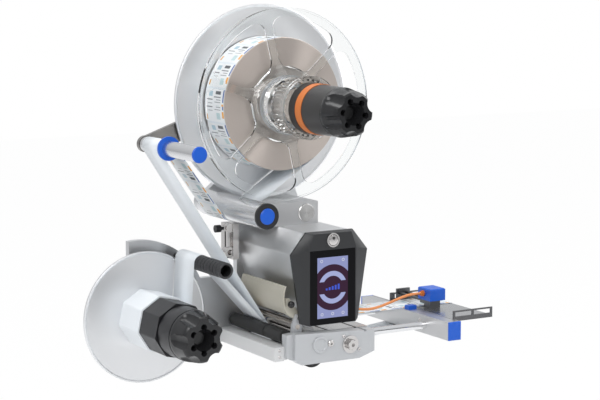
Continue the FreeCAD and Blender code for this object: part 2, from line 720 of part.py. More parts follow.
def sensor_cable():
    """Round cable: straight runs joined by tangent arcs."""
    points = [Vector(*p) for p in CABLE_ROUTE]
    edges = []
    last = points[0]
    radii = []
    for before, corner, after in zip(points, points[1:], points[2:]):
        into = (corner - before)
        out = (after - corner)
        shorter = min(into.Length, out.Length)
        into.normalize()
        out.normalize()
        turn = into.getAngle(out)
        trim = 0.45 * shorter
        radius = trim / math.tan(turn / 2)
        radii.append(radius)
        start = corner - into * trim
        end = corner + out * trim
        centre_dir = (out - into).normalize()
        centre = corner + centre_dir * (radius / math.cos(turn / 2))
        middle = centre - centre_dir * radius
        edges.append(Part.LineSegment(last, start).toShape())
        edges.append(Part.Arc(start, middle, end).toShape())
        last = end
    edges.append(Part.LineSegment(last, points[-1]).toShape())
    path = Part.Wire(edges)
    heading = (points[1] - points[0]).normalize()
    section = Part.Wire(Part.makeCircle(CABLE_R, points[0], heading))
    cable = path.makePipeShell([section], True, False)
    expected = math.pi * CABLE_R ** 2 * path.Length
    print("cable radii", [round(r, 1) for r in radii], "length", round(path.Length, 1))
    print("cable volume", round(cable.Volume, 1), "expected", round(expected, 1))
    return cable


# ------------------------------------------------- infeed guard and fittings
def guard_section(offset):
    """Points of the curved guard's section, shifted across its thickness."""
    shape = [
        (GUARD_PIVOT_X - 22.0, GUARD_PIVOT_Z + 49.0),
        (GUARD_PIVOT_X - 25.5, GUARD_PIVOT_Z + 26.0),
        (GUARD_PIVOT_X - 17.0, GUARD_PIVOT_Z + 5.0),
    ]
    return [(x + offset, z + offset * 0.2) for x, z in shape]


def infeed_guard():
    """Curved plastic guard over the feed roller, hinged on a pin at its foot."""
    edges = []
    y = GUARD_FRONT_Y
    near = [Vector(x, y, z) for x, z in guard_section(0)]
    far = [Vector(x, y, z) for x, z in guard_section(GUARD_T)]
    edges.append(Part.Arc(*near).toShape())
    edges.append(Part.LineSegment(near[2], far[2]).toShape())
    edges.append(Part.Arc(far[2], far[1], far[0]).toShape())
    edges.append(Part.LineSegment(far[0], near[0]).toShape())
    shell = Part.Face(Part.Wire(edges)).extrude(Vector(0, GUARD_REAR_Y - y, 0))
    arms = []
    for y0 in (GUARD_FRONT_Y, GUARD_REAR_Y - 8):
        arm = prism([
            (GUARD_PIVOT_X - 19.5, GUARD_PIVOT_Z + 14),
            (GUARD_PIVOT_X - 16.5, GUARD_PIVOT_Z + 4),
            (GUARD_PIVOT_X - 4, GUARD_PIVOT_Z - 3.8),
            (GUARD_PIVOT_X + 4.5, GUARD_PIVOT_Z - 3),
            (GUARD_PIVOT_X + 3, GUARD_PIVOT_Z + 5),
            (GUARD_PIVOT_X - 14, GUARD_PIVOT_Z + 30),
            (GUARD_PIVOT_X - 20.5, GUARD_PIVOT_Z + 30),
        ], y0, y0 + 8)
        arms.append(arm)
    guard = shell.fuse(arms)
    return guard.cut(cylinder(GUARD_PIVOT_X, GUARD_PIVOT_Z, 3 + RUN_CLEAR, y - 1, GUARD_REAR_Y + 1))


def guard_pin():
    """Pin that the guard swings on, seated in the ear and the frame plate."""
    pin = cylinder(GUARD_PIVOT_X, GUARD_PIVOT_Z, 3, BLOCK_REAR_Y, PLATE_FRONT_Y)
    head = cylinder(GUARD_PIVOT_X, GUARD_PIVOT_Z, 4, BLOCK_REAR_Y - 0.6, BLOCK_REAR_Y + 2)
    return pin.fuse(head)


def guard_knob():
    """Ball knob screwed into the guard's front arm."""
    x = GUARD_PIVOT_X - 15
    z = GUARD_PIVOT_Z + 22
    ball = Part.makeSphere(5.5, Vector(x, GUARD_FRONT_Y - 7, z))
    stem = cylinder(x, z, 2.2, GUARD_FRONT_Y - 7, GUARD_FRONT_Y)
    return ball.fuse(stem)


def fittings_bracket():
    """Small bracket beside the housing with two clamp blocks."""
    z0 = FITTING_Z - 38
    z1 = FITTING_Z + 20
    tab = box(FITTING_X + 8, PLATE_WAIST_X, PLATE_FRONT_Y, 0, z0, z1)
    shelf = box(FITTING_X + 14, PLATE_WAIST_X - 6, PLATE_FRONT_Y - 18, PLATE_FRONT_Y, z0, z1)
    return tab.fuse(shelf)


def clamp_fittings():
    """Two plated clamp blocks and their link, on the bracket's left edge."""
    y1 = PLATE_FRONT_Y - 2
    y0 = y1 - 14
    upper = cylinder(FITTING_X + 10, FITTING_Z + 13, 7, y0, y1)
    arm = box(FITTING_X, FITTING_X + 14, y0 + 3, y1 - 3, FITTING_Z + 9, FITTING_Z + 17)
    lower = tube(FITTING_X + 9, FITTING_Z - 26, 8.5, 4.5, y0, y1)
    link = box(FITTING_X + 7, FITTING_X + 14, y0 + 4, y1 - 4, FITTING_Z - 18, FITTING_Z + 8)
    return upper.fuse([arm, lower, link])


def thumb_screw():
    """Knurled thumb screw in the upper clamp block."""
    y = PLATE_FRONT_Y - 9
    z = FITTING_Z + 13
    head = Part.makeCylinder(6.0, 9, Vector(FITTING_X - 14, y, z), Vector(1, 0, 0))
    neck = Part.makeCylinder(2.5, 5, Vector(FITTING_X - 5, y, z), Vector(1, 0, 0))
    return head.fuse(neck)


# ------------------------------------------------------------------- unwinder
def reel_spindle(x, z, front_y):
    """Fixed spindle with its bolted foot, bearing boss and long journal."""
    y = PLATE_FRONT_Y
    foot = cylinder(x, z, 40, y - 6, y)
    boss = cylinder(x, z, 22, REAR_FLANGE_Y + REAR_FLANGE_T + 1, y - 6)
    journal = cylinder(x, z, SPINDLE_R, front_y, 0)
    return foot.fuse([boss, journal])


def rear_flange():
    """Opaque unwinder flange with a rolled rim and a clamping ring."""
    y1 = REAR_FLANGE_Y + REAR_FLANGE_T
    profile = [
        (SPINDLE_R + RUN_CLEAR, REAR_FLANGE_Y),
        (REAR_FLANGE_R - 5, REAR_FLANGE_Y),
        (REAR_FLANGE_R - 2, REAR_FLANGE_Y - 1.5),
        (REAR_FLANGE_R, REAR_FLANGE_Y - 0.5),
        (REAR_FLANGE_R, y1 - 1),
        (REAR_FLANGE_R - 1, y1),
        (SPINDLE_R + RUN_CLEAR, y1),
    ]
    return revolve_about_y(profile, SUPPLY_X, SUPPLY_Z)


def supply_mandrel():
    """Stepped core mandrel that turns on the fixed spindle."""
    core_r = CORE_R - 0.2
    neck_r = FLANGE_BORE_R - 0.15
    front = SLEEVE_FRONT_Y + 12
    profile = [
        (SPINDLE_R + RUN_CLEAR, REAR_FLANGE_Y),
        (core_r, REAR_FLANGE_Y),
        (core_r, CLEAR_FLANGE_Y + 6),
        (core_r - 2, CLEAR_FLANGE_Y + 4),
        (neck_r, CLEAR_FLANGE_Y + 4),
        (neck_r, front + 2),
        (neck_r - 2, front),
        (SPINDLE_R + RUN_CLEAR, front),
    ]
    return revolve_about_y(profile, SUPPLY_X, SUPPLY_Z)


def label_roll():
    """Wound roll of labels on its core, slightly coned at the front."""
    y0 = WEB_FRONT_Y
    y1 = WEB_REAR_Y
    profile = [
        (CORE_R + CORE_WALL, y0 - 0.6),
        (LABEL_ROLL_R - 1, y0),
        (LABEL_ROLL_R, y0 + 1),
        (LABEL_ROLL_R, y1),
        (CORE_R + CORE_WALL, y1),
    ]
    return revolve_about_y(profile, SUPPLY_X, SUPPLY_Z)


def roll_core():
    """Cardboard core of the label roll."""
    return tube(SUPPLY_X, SUPPLY_Z, CORE_R + CORE_WALL, CORE_R, WEB_FRONT_Y - 0.8, WEB_REAR_Y + 1.5)


def flange_window(centre_deg):
    """Rounded trapezoid window of the clear flange, as a cutting solid."""
    half_inner = math.degrees(math.asin(0.5 * (2 * math.pi * WINDOW_INNER_R / WINDOW_COUNT - WINDOW_RIB_W) / WINDOW_INNER_R))
    half_outer = 180.0 / WINDOW_COUNT - math.degrees(math.asin(WINDOW_RIB_W / 2 / WINDOW_OUTER_R))
    y = CLEAR_FLANGE_Y - CLEAR_FLANGE_T - 2
    low = [polar(SUPPLY_X, SUPPLY_Z, WINDOW_INNER_R, centre_deg + s * half_inner) for s in (-1, 1)]
    high = [polar(SUPPLY_X, SUPPLY_Z, WINDOW_OUTER_R, centre_deg + s * half_outer) for s in (-1, 1)]
    edges = [
        arc_edge(SUPPLY_X, SUPPLY_Z, WINDOW_INNER_R, centre_deg - half_inner, centre_deg + half_inner, y),
        Part.LineSegment(Vector(low[1][0], y, low[1][1]), Vector(high[1][0], y, high[1][1])).toShape(),
        arc_edge(SUPPLY_X, SUPPLY_Z, WINDOW_OUTER_R, centre_deg + half_outer, centre_deg - half_outer, y),
        Part.LineSegment(Vector(high[0][0], y, high[0][1]), Vector(low[0][0], y, low[0][1])).toShape(),
    ]
    block = Part.Face(Part.Wire(edges)).extrude(Vector(0, CLEAR_FLANGE_T + 4, 0))
    block = fillet_along_y(block, WINDOW_OUTER_FILLET, far_out)
    return fillet_along_y(block, WINDOW_INNER_FILLET, lambda px, pz: on_inner_corner(px, pz, low))


def far_out(x, z):
    """True beyond the middle of the flange windows."""
    middle = (WINDOW_INNER_R + WINDOW_OUTER_R) / 2
    return math.hypot(x - SUPPLY_X, z - SUPPLY_Z) > middle


def on_inner_corner(x, z, corners):
    """True at one of the two inner corners of a window."""
    return any(math.hypot(x - cx, z - cz) < 0.01 for cx, cz in corners)


def clear_flange():
    """Clear moulded outer flange: six windows, a domed web and a ribbed hub."""
    y1 = CLEAR_FLANGE_Y
    y0 = y1 - CLEAR_FLANGE_T
    bore = FLANGE_BORE_R
    profile = [
        (bore, y1),
        (CLEAR_FLANGE_R, y1),
        (CLEAR_FLANGE_R, y0 - 2),
        (CLEAR_FLANGE_R - 3, y0 - 2),
        (CLEAR_FLANGE_R - 3, y0),
        (62, y0),
        (54, y0 - 8),
        (HUB_R + 3, y0 - 16),
        (HUB_R, y0 - 22),
        (HUB_R, HUB_FRONT_Y + 9),
        (HUB_R + 5, HUB_FRONT_Y + 7),
        (HUB_R + 5, HUB_FRONT_Y),
        (bore, HUB_FRONT_Y),
    ]
    body = revolve_about_y(profile, SUPPLY_X, SUPPLY_Z)
    cutters = [flange_window(WINDOW_TURN + i * 360.0 / WINDOW_COUNT) for i in range(WINDOW_COUNT)]
    groove_depth = 3.0
    for i in range(HUB_RIBS):
        px, pz = polar(SUPPLY_X, SUPPLY_Z, HUB_R, i * 360.0 / HUB_RIBS)
        groove = Part.makeBox(groove_depth * 2, 34, 4.2, Vector(-groove_depth, HUB_FRONT_Y + 14, -2.1))
        groove.rotate(Vector(0, 0, 0), Vector(0, 1, 0), -i * 360.0 / HUB_RIBS)
        groove.translate(Vector(px, 0, pz))
        cutters.append(groove)
    return body.cut(cutters)


def clamp_sleeve():
    """Clamping sleeve behind the star knob, with its collar against the hub."""
    bore = FLANGE_BORE_R
    y1 = HUB_FRONT_Y
    y0 = SLEEVE_FRONT_Y
    collar = y1 - BLACK_RING_L
    waist = collar - ORANGE_RING_L
    profile = [
        (bore, y1),
        (SLEEVE_R + 1.5, y1),
        (SLEEVE_R + 1.5, collar),
        (SLEEVE_R - 2, collar),
        (SLEEVE_R - 2, waist),
        (SLEEVE_R, waist),
        (SLEEVE_R - 1, y0 + 1),
        (SLEEVE_R - 2, y0),
        (8 + RUN_CLEAR, y0),
        (8 + RUN_CLEAR, y0 + 6),
        (bore, y0 + 6),
    ]
    return revolve_about_y(profile, SUPPLY_X, SUPPLY_Z)


def orange_ring():
    """Orange index ring on the sleeve."""
    rear = HUB_FRONT_Y - BLACK_RING_L
    return tube(SUPPLY_X, SUPPLY_Z, SLEEVE_R + 0.9, SLEEVE_R - 2, rear - ORANGE_RING_L, rear)


def star_knob(x, z, rear_y, radius, stem_l, turn):
    """Star knob: round base, finger scoops that open to the front, lobed hollow."""
    front_y = rear_y - KNOB_L
    tip_r = KNOB_TIP_R + radius - KNOB_R
    profile = [
        (0, rear_y - 0.6),
        (radius - 1, rear_y - 0.6),
        (radius, rear_y - 1.6),
        (radius, rear_y - 5),
        (radius - 1.5, rear_y - 14),
        (tip_r + 1.5, front_y + 5),
        (tip_r, front_y + 2),
        (tip_r - 2.5, front_y),
        (0, front_y),
    ]
    body = revolve_about_y(profile, x, z)
    cutters = [Part.makeCone(KNOB_HOLLOW_R * 0.55, KNOB_HOLLOW_R, 20, Vector(x, front_y + 20, z), Vector(0, -1, 0))]
    for i in range(KNOB_LOBES):
        tip_deg = turn + i * 360.0 / KNOB_LOBES
        valley_deg = tip_deg + 180.0 / KNOB_LOBES
        deep = polar(x, z, radius + KNOB_SCOOP_R * 0.5, valley_deg)
        open_end = polar(x, z, tip_r + KNOB_SCOOP_R * 0.45, valley_deg)
        start = Vector(deep[0], rear_y - KNOB_L * 0.5, deep[1])
        end = Vector(open_end[0], front_y - 6, open_end[1])
        cutters.append(Part.makeSphere(KNOB_SCOOP_R, start))
        cutters.append(Part.makeCylinder(KNOB_SCOOP_R, (end - start).Length, start, end - start))
        recess = polar(x, z, KNOB_HOLLOW_R + 2.5, tip_deg)
        cutters.append(Part.makeCone(2.5, 5.0, 13, Vector(recess[0], front_y + 12, recess[1]), Vector(0, -1, 0)))
    stem = cylinder(x, z, 8, rear_y - 1, rear_y + stem_l)
    return body.cut(cutters).fuse(stem)


# --------------------------------------------------------------------- dancer
def dancer_arm():
    """Dancer arm: pivots on the unwinder spindle boss and carries the roller pin."""
    y0 = PLATE_FRONT_Y - 15
    y1 = y0 + DANCER_ARM_T
    hub = cylinder(SUPPLY_X, SUPPLY_Z, 32, y0, y1)
    tip = cylinder(DANCER_X, DANCER_Z, DANCER_ARM_W / 2, y0, y1)
    dx = SUPPLY_X - DANCER_X
    dz = SUPPLY_Z - DANCER_Z
    reach = math.hypot(dx, dz)
    nx = -dz / reach
    nz = dx / reach
    wide = 24.0
    slim = DANCER_ARM_W / 2 - 1
    bar = prism([
        (DANCER_X + nx * slim, DANCER_Z + nz * slim),
        (SUPPLY_X + nx * wide, SUPPLY_Z + nz * wide),
        (SUPPLY_X - nx * wide, SUPPLY_Z - nz * wide),
        (DANCER_X - nx * slim, DANCER_Z - nz * slim),
    ], y0, y1)
    arm = hub.fuse([tip, bar]).removeSplitter()
    arm = arm.cut(cylinder(SUPPLY_X, SUPPLY_Z, 22 + RUN_CLEAR, y0 - 1, y1 + 1))
    pin = cylinder(DANCER_X, DANCER_Z, JOURNAL_R, ROLLER_FRONT_Y + 6, y1 + 10)
    nut = prism(regular_polygon(DANCER_X, DANCER_Z, 9, 6, 0), y1, y1 + 7)
    return arm.fuse([pin, nut])


def dancer_tube():
    """Aluminium dancer roller on its pin."""
    rear = PLATE_FRONT_Y - 15 - 1.0
    body = cylinder(DANCER_X, DANCER_Z, DANCER_R, ROLLER_FRONT_Y, rear)
    bore = cylinder(DANCER_X, DANCER_Z, JOURNAL_R + RUN_CLEAR, ROLLER_FRONT_Y + 5, rear + 1)
    return body.cut(bore)


def end_cap(x, z, radius, rear_y, thick):
    """Round snap-on end cap with a softened rim."""
    front = rear_y - thick
    profile = [
        (0, front), (radius - 1.2, front), (radius, front + 1.2), (radius, rear_y), (0, rear_y),
    ]
    return revolve_about_y(profile, x, z)


def guide_ring():
    """Clamped guide collar that keeps the web's front edge in line."""
    return tube(DANCER_X, DANCER_Z, GUIDE_RING_R, DANCER_R + RUN_CLEAR, WEB_FRONT_Y - 1 - GUIDE_RING_W, WEB_FRONT_Y - 1)


# -------------------------------------------------------------------- rollers
def journalled_roller(x, z, radius, y_front, y_rear, journal_r, front_l, rear_l):
    """Solid roller with stepped journals at its ends."""
    body = cylinder(x, z, radius, y_front, y_rear)
    parts = []
    if rear_l > 0:
        parts.append(cylinder(x, z, journal_r, y_rear - 1, y_rear + rear_l))
    if front_l > 0:
        parts.append(cylinder(x, z, journal_r, y_front - front_l, y_front + 1))
    return body.fuse(parts)


def idler_tube():
    """Large deflection roller under the unwinder."""
    return journalled_roller(IDLER_X, IDLER_Z, IDLER_R, ROLLER_FRONT_Y, ROLLER_REAR_Y, JOURNAL_R, 0, 14)


def idler_end_ring():
    """Black end ring of the deflection roller."""
    return tube(IDLER_X, IDLER_Z, IDLER_R - 0.3, 12.5, ROLLER_FRONT_Y - 4, ROLLER_FRONT_Y)


def knurled_roller():
    """Knurled liner roller, hollow at its open end."""
    rear = REWIND_FLANGE_Y - 2.5
    front = rear - KNURL_L
    roller = journalled_roller(KNURL_X, KNURL_Z, KNURL_R, front, rear, 4, 0, -2 - rear)
    roller = roller.cut(cylinder(KNURL_X, KNURL_Z, KNURL_R - 3.5, front - 1, front + 24))
    grooves = []
    for i in range(1, 14):
        y = front + i * 10.0
        grooves.append(tube(KNURL_X, KNURL_Z, KNURL_R + 1, KNURL_R - 0.6, y - 0.5, y + 0.5))
    return roller.cut(grooves)


def feed_roller():
    """Steel feed roller that turns the web onto the table."""
    front = BLOCK_REAR_Y + EAR_T + 3
    return journalled_roller(FEED_X, FEED_Z, FEED_R, front, ROLLER_REAR_Y, 4, 6, 14)


def rubber_shaft():
    """Steel shaft of the rubber roller."""
    return cylinder(RUBBER_X, RUBBER_Z, 4, BLOCK_REAR_Y - 10, PLATE_FRONT_Y + 10)


def rubber_sleeves():
    """Two textured rubber sleeves with a gap between them."""
    front = BLOCK_REAR_Y + EAR_T + 3
    split = WEB_FRONT_Y - 24
    sleeves = [
        tube(RUBBER_X, RUBBER_Z, RUBBER_R, 4, front, split - RUBBER_GAP / 2),
        tube(RUBBER_X, RUBBER_Z, RUBBER_R, 4, split + RUBBER_GAP / 2, ROLLER_REAR_Y),
    ]
    return Part.makeCompound(sleeves)


def drive_roller():
    """Drive roller under the table."""
    return journalled_roller(DRIVE_X, DRIVE_Z, DRIVE_R, BLOCK_REAR_Y + 2, ROLLER_REAR_Y, 5, 12, 14)


# ------------------------------------------------------------------- rewinder
def rewind_flange():
    """Rewinder flange with a rolled rim."""
    y0 = REWIND_FLANGE_Y
    y1 = y0 + REAR_FLANGE_T
    profile = [
        (SPINDLE_R + RUN_CLEAR, y0),
        (REWIND_FLANGE_R - 4, y0),
        (REWIND_FLANGE_R - 2, y0 - 1),
        (REWIND_FLANGE_R, y0),
        (REWIND_FLANGE_R, y1),
        (SPINDLE_R + RUN_CLEAR, y1),
    ]
    return revolve_about_y(profile, REWIND_X, REWIND_Z)


def rewind_mandrel():
    """Eight-sided rewinder mandrel ending in a round sleeve."""
    corners = regular_polygon(REWIND_X, REWIND_Z, MANDREL_R, MANDREL_SIDES, 10)
    body = prism(corners, MANDREL_FRONT_Y, REWIND_FLANGE_Y)
    body = fillet_along_y(body, 4.0)
    groove_y = MANDREL_FRONT_Y - 2
    neck = cylinder(REWIND_X, REWIND_Z, MANDREL_SLEEVE_R - 3, groove_y, MANDREL_FRONT_Y)
    sleeve = cylinder(REWIND_X, REWIND_Z, MANDREL_SLEEVE_R, REWIND_KNOB_Y, groove_y)
    body = body.fuse([neck, sleeve]).removeSplitter()
    cavity_y = REWIND_KNOB_Y + 8
    bores = [
        cylinder(REWIND_X, REWIND_Z, SPINDLE_R + RUN_CLEAR, cavity_y, REWIND_FLANGE_Y + 1),
        cylinder(REWIND_X, REWIND_Z, 8 + RUN_CLEAR, REWIND_KNOB_Y - 1, cavity_y),
    ]
    return body.cut(bores)


def wound_liner():
    """Empty liner wound on the rear half of the mandrel."""
    outer = regular_polygon(REWIND_X, REWIND_Z, MANDREL_R + LINER_COIL_T, MANDREL_SIDES, 10)
    inner = regular_polygon(REWIND_X, REWIND_Z, MANDREL_R, MANDREL_SIDES, 10)
    coil = fillet_along_y(prism(outer, WEB_FRONT_Y, REWIND_FLANGE_Y), 6.0)
    core = fillet_along_y(prism(inner, WEB_FRONT_Y - 1, REWIND_FLANGE_Y + 1), 4.0)
    return coil.cut(core)


# ----------------------------------------------------------------- web strips
def on_tangent(first, second, share):
    """Free end on the tangent between two circles, a share of the way along it."""
    nx, nz = tangent_normal(first, second)
    ends = []
    for x, z, radius, turn in (first, second):
        ends.append((x - turn * radius * nx, z - turn * radius * nz))
    (x0, z0), (x1, z1) = ends
    return (x0 + share * (x1 - x0), z0 + share * (z1 - z0), 0, 1)


def web_strips():
    """The label web and the empty liner, as thin strips between the rollers."""
    over_table = TABLE_Z + WEB_T / 2
    pad = WEB_GAP + WEB_T / 2
    table_start = (FEED_X + 3, over_table, 0, 1)
    table_end = (PEEL_X1 - 3, over_table, 0, 1)
    nose = (PEEL_X1 - 1, TABLE_Z - 1.5, 1 + pad, -1)
    beam_edge = (PEEL_X0, BEAM_TOP_Z - BEAM_H, 0.3 + pad, -1)
    after_idler = on_tangent(IDLER_CIRCLE, DANCER_CIRCLE, 0.02)
    after_rubber = on_tangent(RUBBER_CIRCLE, KNURL_CIRCLE, 0.05)
    rows = {
        "web_supply": [ROLL_CIRCLE, IDLER_CIRCLE, after_idler],
        "web_dancer": [after_idler, DANCER_CIRCLE, FEED_CIRCLE, table_start],
        "web_table": [table_start, table_end],
        "liner_return": [table_end, nose, beam_edge, DRIVE_CIRCLE, RUBBER_CIRCLE, after_rubber],
        "liner_rewind": [after_rubber, KNURL_CIRCLE, COIL_CIRCLE],
    }
    return {name: strip(circles, WEB_FRONT_Y, WEB_REAR_Y) for name, circles in rows.items()}


def edge_guide():
    """Sliding edge guide on the beam beside the web."""
    y1 = WEB_FRONT_Y - 2
    body = box(BEAM_X + 2, BEAM_X + BEAM_W - 5, y1 - 12, y1, BEAM_TOP_Z, BEAM_TOP_Z + 7)
    return fillet_top(body, 1.5)


def fillet_top(shape, radius):
    """Round the upper rim of a block."""
    top = shape.BoundBox.ZMax
    return shape.makeFillet(radius, [e for e in shape.Edges if e.BoundBox.ZMin > top - 0.01])


# ----------------------------------------------------------------- all pieces
def all_nodes():
    """Every sub-part of the head by its node name."""
    left_bar, right_bar = roller_bed_bars()
    sensor_body, sensor_foot = label_sensor()
    nodes = {
        "frame_plate": frame_plate(),
        "display_housing": display_housing(),
        "bezel": bezel(),
        "screen_glass": screen_glass(),
        "button_ring": button_ring(),
        "push_button": push_button(),
        "upper_block": upper_block(),
        "pivot_plug": pivot_plug(),
        "bearing_block": bearing_block().fuse(bearing_cap()),
        "adjuster_bolt": adjuster_bolt(),
        "left_bar": left_bar,
        "table_plate": table_plate().fuse(right_bar),
        "arm_rod_front": rod_at(FRONT_ROD_Y, 0),
        "arm_rod_rear": rod_at(REAR_ROD_Y, 0),
        "cross_beam": cross_beam(),
        "beam_caps": beam_caps(),
        "edge_guide": edge_guide(),
        "peel_plate": peel_plate(),
        "fence_front": edge_fence(PEEL_FRONT_Y - FENCE_T, PEEL_X0 + 0.5, PEEL_X1 + 2),
        "fence_rear": rear_fence(),
        "sensor_body": sensor_body,
        "sensor_mount": sensor_foot.fuse(sensor_rods()),
        "sensor_cable": sensor_cable(),
        "cable_gland": cable_gland(),
        "cable_grommet": cable_grommet(),
        "infeed_guard": infeed_guard(),
        "guard_pin": guard_pin(),
        "guard_knob": guard_knob(),
        "clamp_fittings": fittings_bracket().fuse(clamp_fittings()),
        "thumb_screw": thumb_screw(),
        "supply_spindle": reel_spindle(SUPPLY_X, SUPPLY_Z, SLEEVE_FRONT_Y + 20),
        "rear_flange": rear_flange(),
        "supply_mandrel": supply_mandrel(),
        "label_roll": label_roll().fuse(roll_core()),
        "clear_flange": clear_flange(),
        "clamp_sleeve": clamp_sleeve(),
        "orange_ring": orange_ring(),
        "supply_knob": star_knob(SUPPLY_X, SUPPLY_Z, SLEEVE_FRONT_Y, KNOB_R - 0.5, 11, SUPPLY_KNOB_TURN),
        "dancer_arm": dancer_arm(),
        "dancer_tube": dancer_tube(),
        "dancer_cap": end_cap(DANCER_X, DANCER_Z, DANCER_R + 0.3, ROLLER_FRONT_Y, 3),
        "guide_ring": guide_ring(),
        "idler_tube": idler_tube(),
        "idler_end_ring": idler_end_ring(),
        "idler_cap": end_cap(IDLER_X, IDLER_Z, 12.4, ROLLER_FRONT_Y, 5.5),
        "knurled_roller": knurled_roller(),
        "feed_roller": feed_roller(),
        "rubber_shaft": rubber_shaft(),
        "rubber_sleeves": rubber_sleeves(),
        "drive_roller": drive_roller(),
        "rewind_spindle": reel_spindle(REWIND_X, REWIND_Z, REWIND_KNOB_Y + 16),
        "rewind_flange": rewind_flange(),
        "rewind_mandrel": rewind_mandrel(),
        "wound_liner": wound_liner(),
        "rewind_knob": star_knob(REWIND_X, REWIND_Z, REWIND_KNOB_Y, REWIND_KNOB_R, 7, REWIND_KNOB_TURN),
    }
    nodes.update(web_strips())
    return nodes


os.makedirs("parts", exist_ok=True)
for node, shape in all_nodes().items():
    shape.exportStep("parts/" + node + ".step")
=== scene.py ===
"""Looks of the label applicator head: finishes, small fasteners, print and light.

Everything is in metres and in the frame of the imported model.  Places come from
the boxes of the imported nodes, so the looks follow the construction.
"""
import bmesh
import bpy
import math
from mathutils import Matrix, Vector


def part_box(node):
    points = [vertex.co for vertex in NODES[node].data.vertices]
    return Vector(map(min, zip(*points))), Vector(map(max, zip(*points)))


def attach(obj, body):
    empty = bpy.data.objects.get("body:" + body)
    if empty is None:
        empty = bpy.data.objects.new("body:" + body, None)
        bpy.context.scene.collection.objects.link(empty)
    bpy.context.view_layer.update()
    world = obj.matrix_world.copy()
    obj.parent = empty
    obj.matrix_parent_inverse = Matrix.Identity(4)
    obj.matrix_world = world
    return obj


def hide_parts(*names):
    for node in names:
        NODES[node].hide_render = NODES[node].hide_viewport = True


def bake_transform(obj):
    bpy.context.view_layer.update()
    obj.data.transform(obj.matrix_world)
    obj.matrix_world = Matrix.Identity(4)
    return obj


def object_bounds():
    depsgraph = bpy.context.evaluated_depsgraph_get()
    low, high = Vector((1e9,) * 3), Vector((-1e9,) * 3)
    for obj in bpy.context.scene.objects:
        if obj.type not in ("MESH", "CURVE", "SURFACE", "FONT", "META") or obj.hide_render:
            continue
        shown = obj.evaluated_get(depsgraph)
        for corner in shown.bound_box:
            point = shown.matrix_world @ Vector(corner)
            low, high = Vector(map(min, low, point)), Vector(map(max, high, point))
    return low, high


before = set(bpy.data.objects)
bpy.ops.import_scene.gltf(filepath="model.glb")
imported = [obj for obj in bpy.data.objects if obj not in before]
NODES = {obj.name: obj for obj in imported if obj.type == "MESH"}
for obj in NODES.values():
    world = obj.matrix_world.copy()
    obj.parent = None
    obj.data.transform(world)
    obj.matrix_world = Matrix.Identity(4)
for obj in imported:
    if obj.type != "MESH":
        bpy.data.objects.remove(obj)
CAD_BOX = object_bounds()
MM = 0.001


# ------------------------------------------------------------- node utilities
def centre(node):
    """Middle of a node's box."""
    low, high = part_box(node)
    return (low + high) / 2


class Shader:
    """Small builder for one node material round a Principled shader."""

    def __init__(self, name):
        self.material = bpy.data.materials.new(name)
        self.material.use_nodes = True
        self.tree = self.material.node_tree
        self.bsdf = self.tree.nodes["Principled BSDF"]
        self.place = self.node("ShaderNodeTexCoord").outputs["Object"]

    def node(self, kind, **settings):
        item = self.tree.nodes.new(kind)
        for key, value in settings.items():
            setattr(item, key, value)
        return item

    def link(self, source, target):
        self.tree.links.new(source, target)

    def put(self, socket, value):
        """Give a socket a link or a plain value."""
        if isinstance(value, bpy.types.NodeSocket):
            self.link(value, socket)
        else:
            socket.default_value = value

    def set(self, **values):
        """Set named inputs of the shader; underscores stand for spaces."""
        for key, value in values.items():
            self.put(self.bsdf.inputs[key.replace("_", " ")], value)
        return self

    def math(self, operation, *values, clamp=False):
        item = self.node("ShaderNodeMath", operation=operation, use_clamp=clamp)
        for socket, value in zip(item.inputs, values):
            self.put(socket, value)
        return item.outputs[0]

    def mix(self, factor, first, second):
        """Blend of two colours."""
        item = self.node("ShaderNodeMix", data_type="RGBA")
        self.put(item.inputs["Factor"], factor)
        self.put(item.inputs["A"], first)
        self.put(item.inputs["B"], second)
        return item.outputs["Result"]

    def blend_values(self, factor, low, high):
        """Linear map of a 0..1 factor onto a range."""
        item = self.node("ShaderNodeMapRange")
        self.put(item.inputs["Value"], factor)
        item.inputs["To Min"].default_value = low
        item.inputs["To Max"].default_value = high
        return item.outputs["Result"]

    def noise(self, scale, detail=3.0, vector=None, stretch=None):
        """Noise on object coordinates, optionally stretched along the axes."""
        item = self.node("ShaderNodeTexNoise")
        item.inputs["Scale"].default_value = scale
        item.inputs["Detail"].default_value = detail
        source = self.place if vector is None else vector
        if stretch:
            mapping = self.node("ShaderNodeMapping")
            mapping.inputs["Scale"].default_value = stretch
            self.link(source, mapping.inputs["Vector"])
            source = mapping.outputs["Vector"]
        self.link(source, item.inputs["Vector"])
        return item.outputs["Fac"]

    def offset(self, point):
        """Object coordinates measured from a point."""
        item = self.node("ShaderNodeVectorMath", operation="SUBTRACT")
        self.link(self.place, item.inputs[0])
        item.inputs[1].default_value = point
        return item.outputs["Vector"]

    def split(self, vector=None):
        item = self.node("ShaderNodeSeparateXYZ")
        self.link(self.place if vector is None else vector, item.inputs[0])
        return item.outputs

    def join(self, x, y, z):
        item = self.node("ShaderNodeCombineXYZ")
        for socket, value in zip(item.inputs, (x, y, z)):
            self.put(socket, value)
        return item.outputs[0]

    def radius(self, point):
        """Distance from an axis along Y through a point."""
        x, _, z = self.split(self.offset(point))
        squares = self.math("ADD", self.math("MULTIPLY", x, x), self.math("MULTIPLY", z, z))
        return self.math("SQRT", squares)

    def bump(self, height, strength, distance):
        item = self.node("ShaderNodeBump")
        item.inputs["Strength"].default_value = strength
        item.inputs["Distance"].default_value = distance
        self.link(height, item.inputs["Height"])
        self.link(item.outputs["Normal"], self.bsdf.inputs["Normal"])
        return item.outputs["Normal"]


def rgb(red, green, blue):
    return (red, green, blue, 1.0)


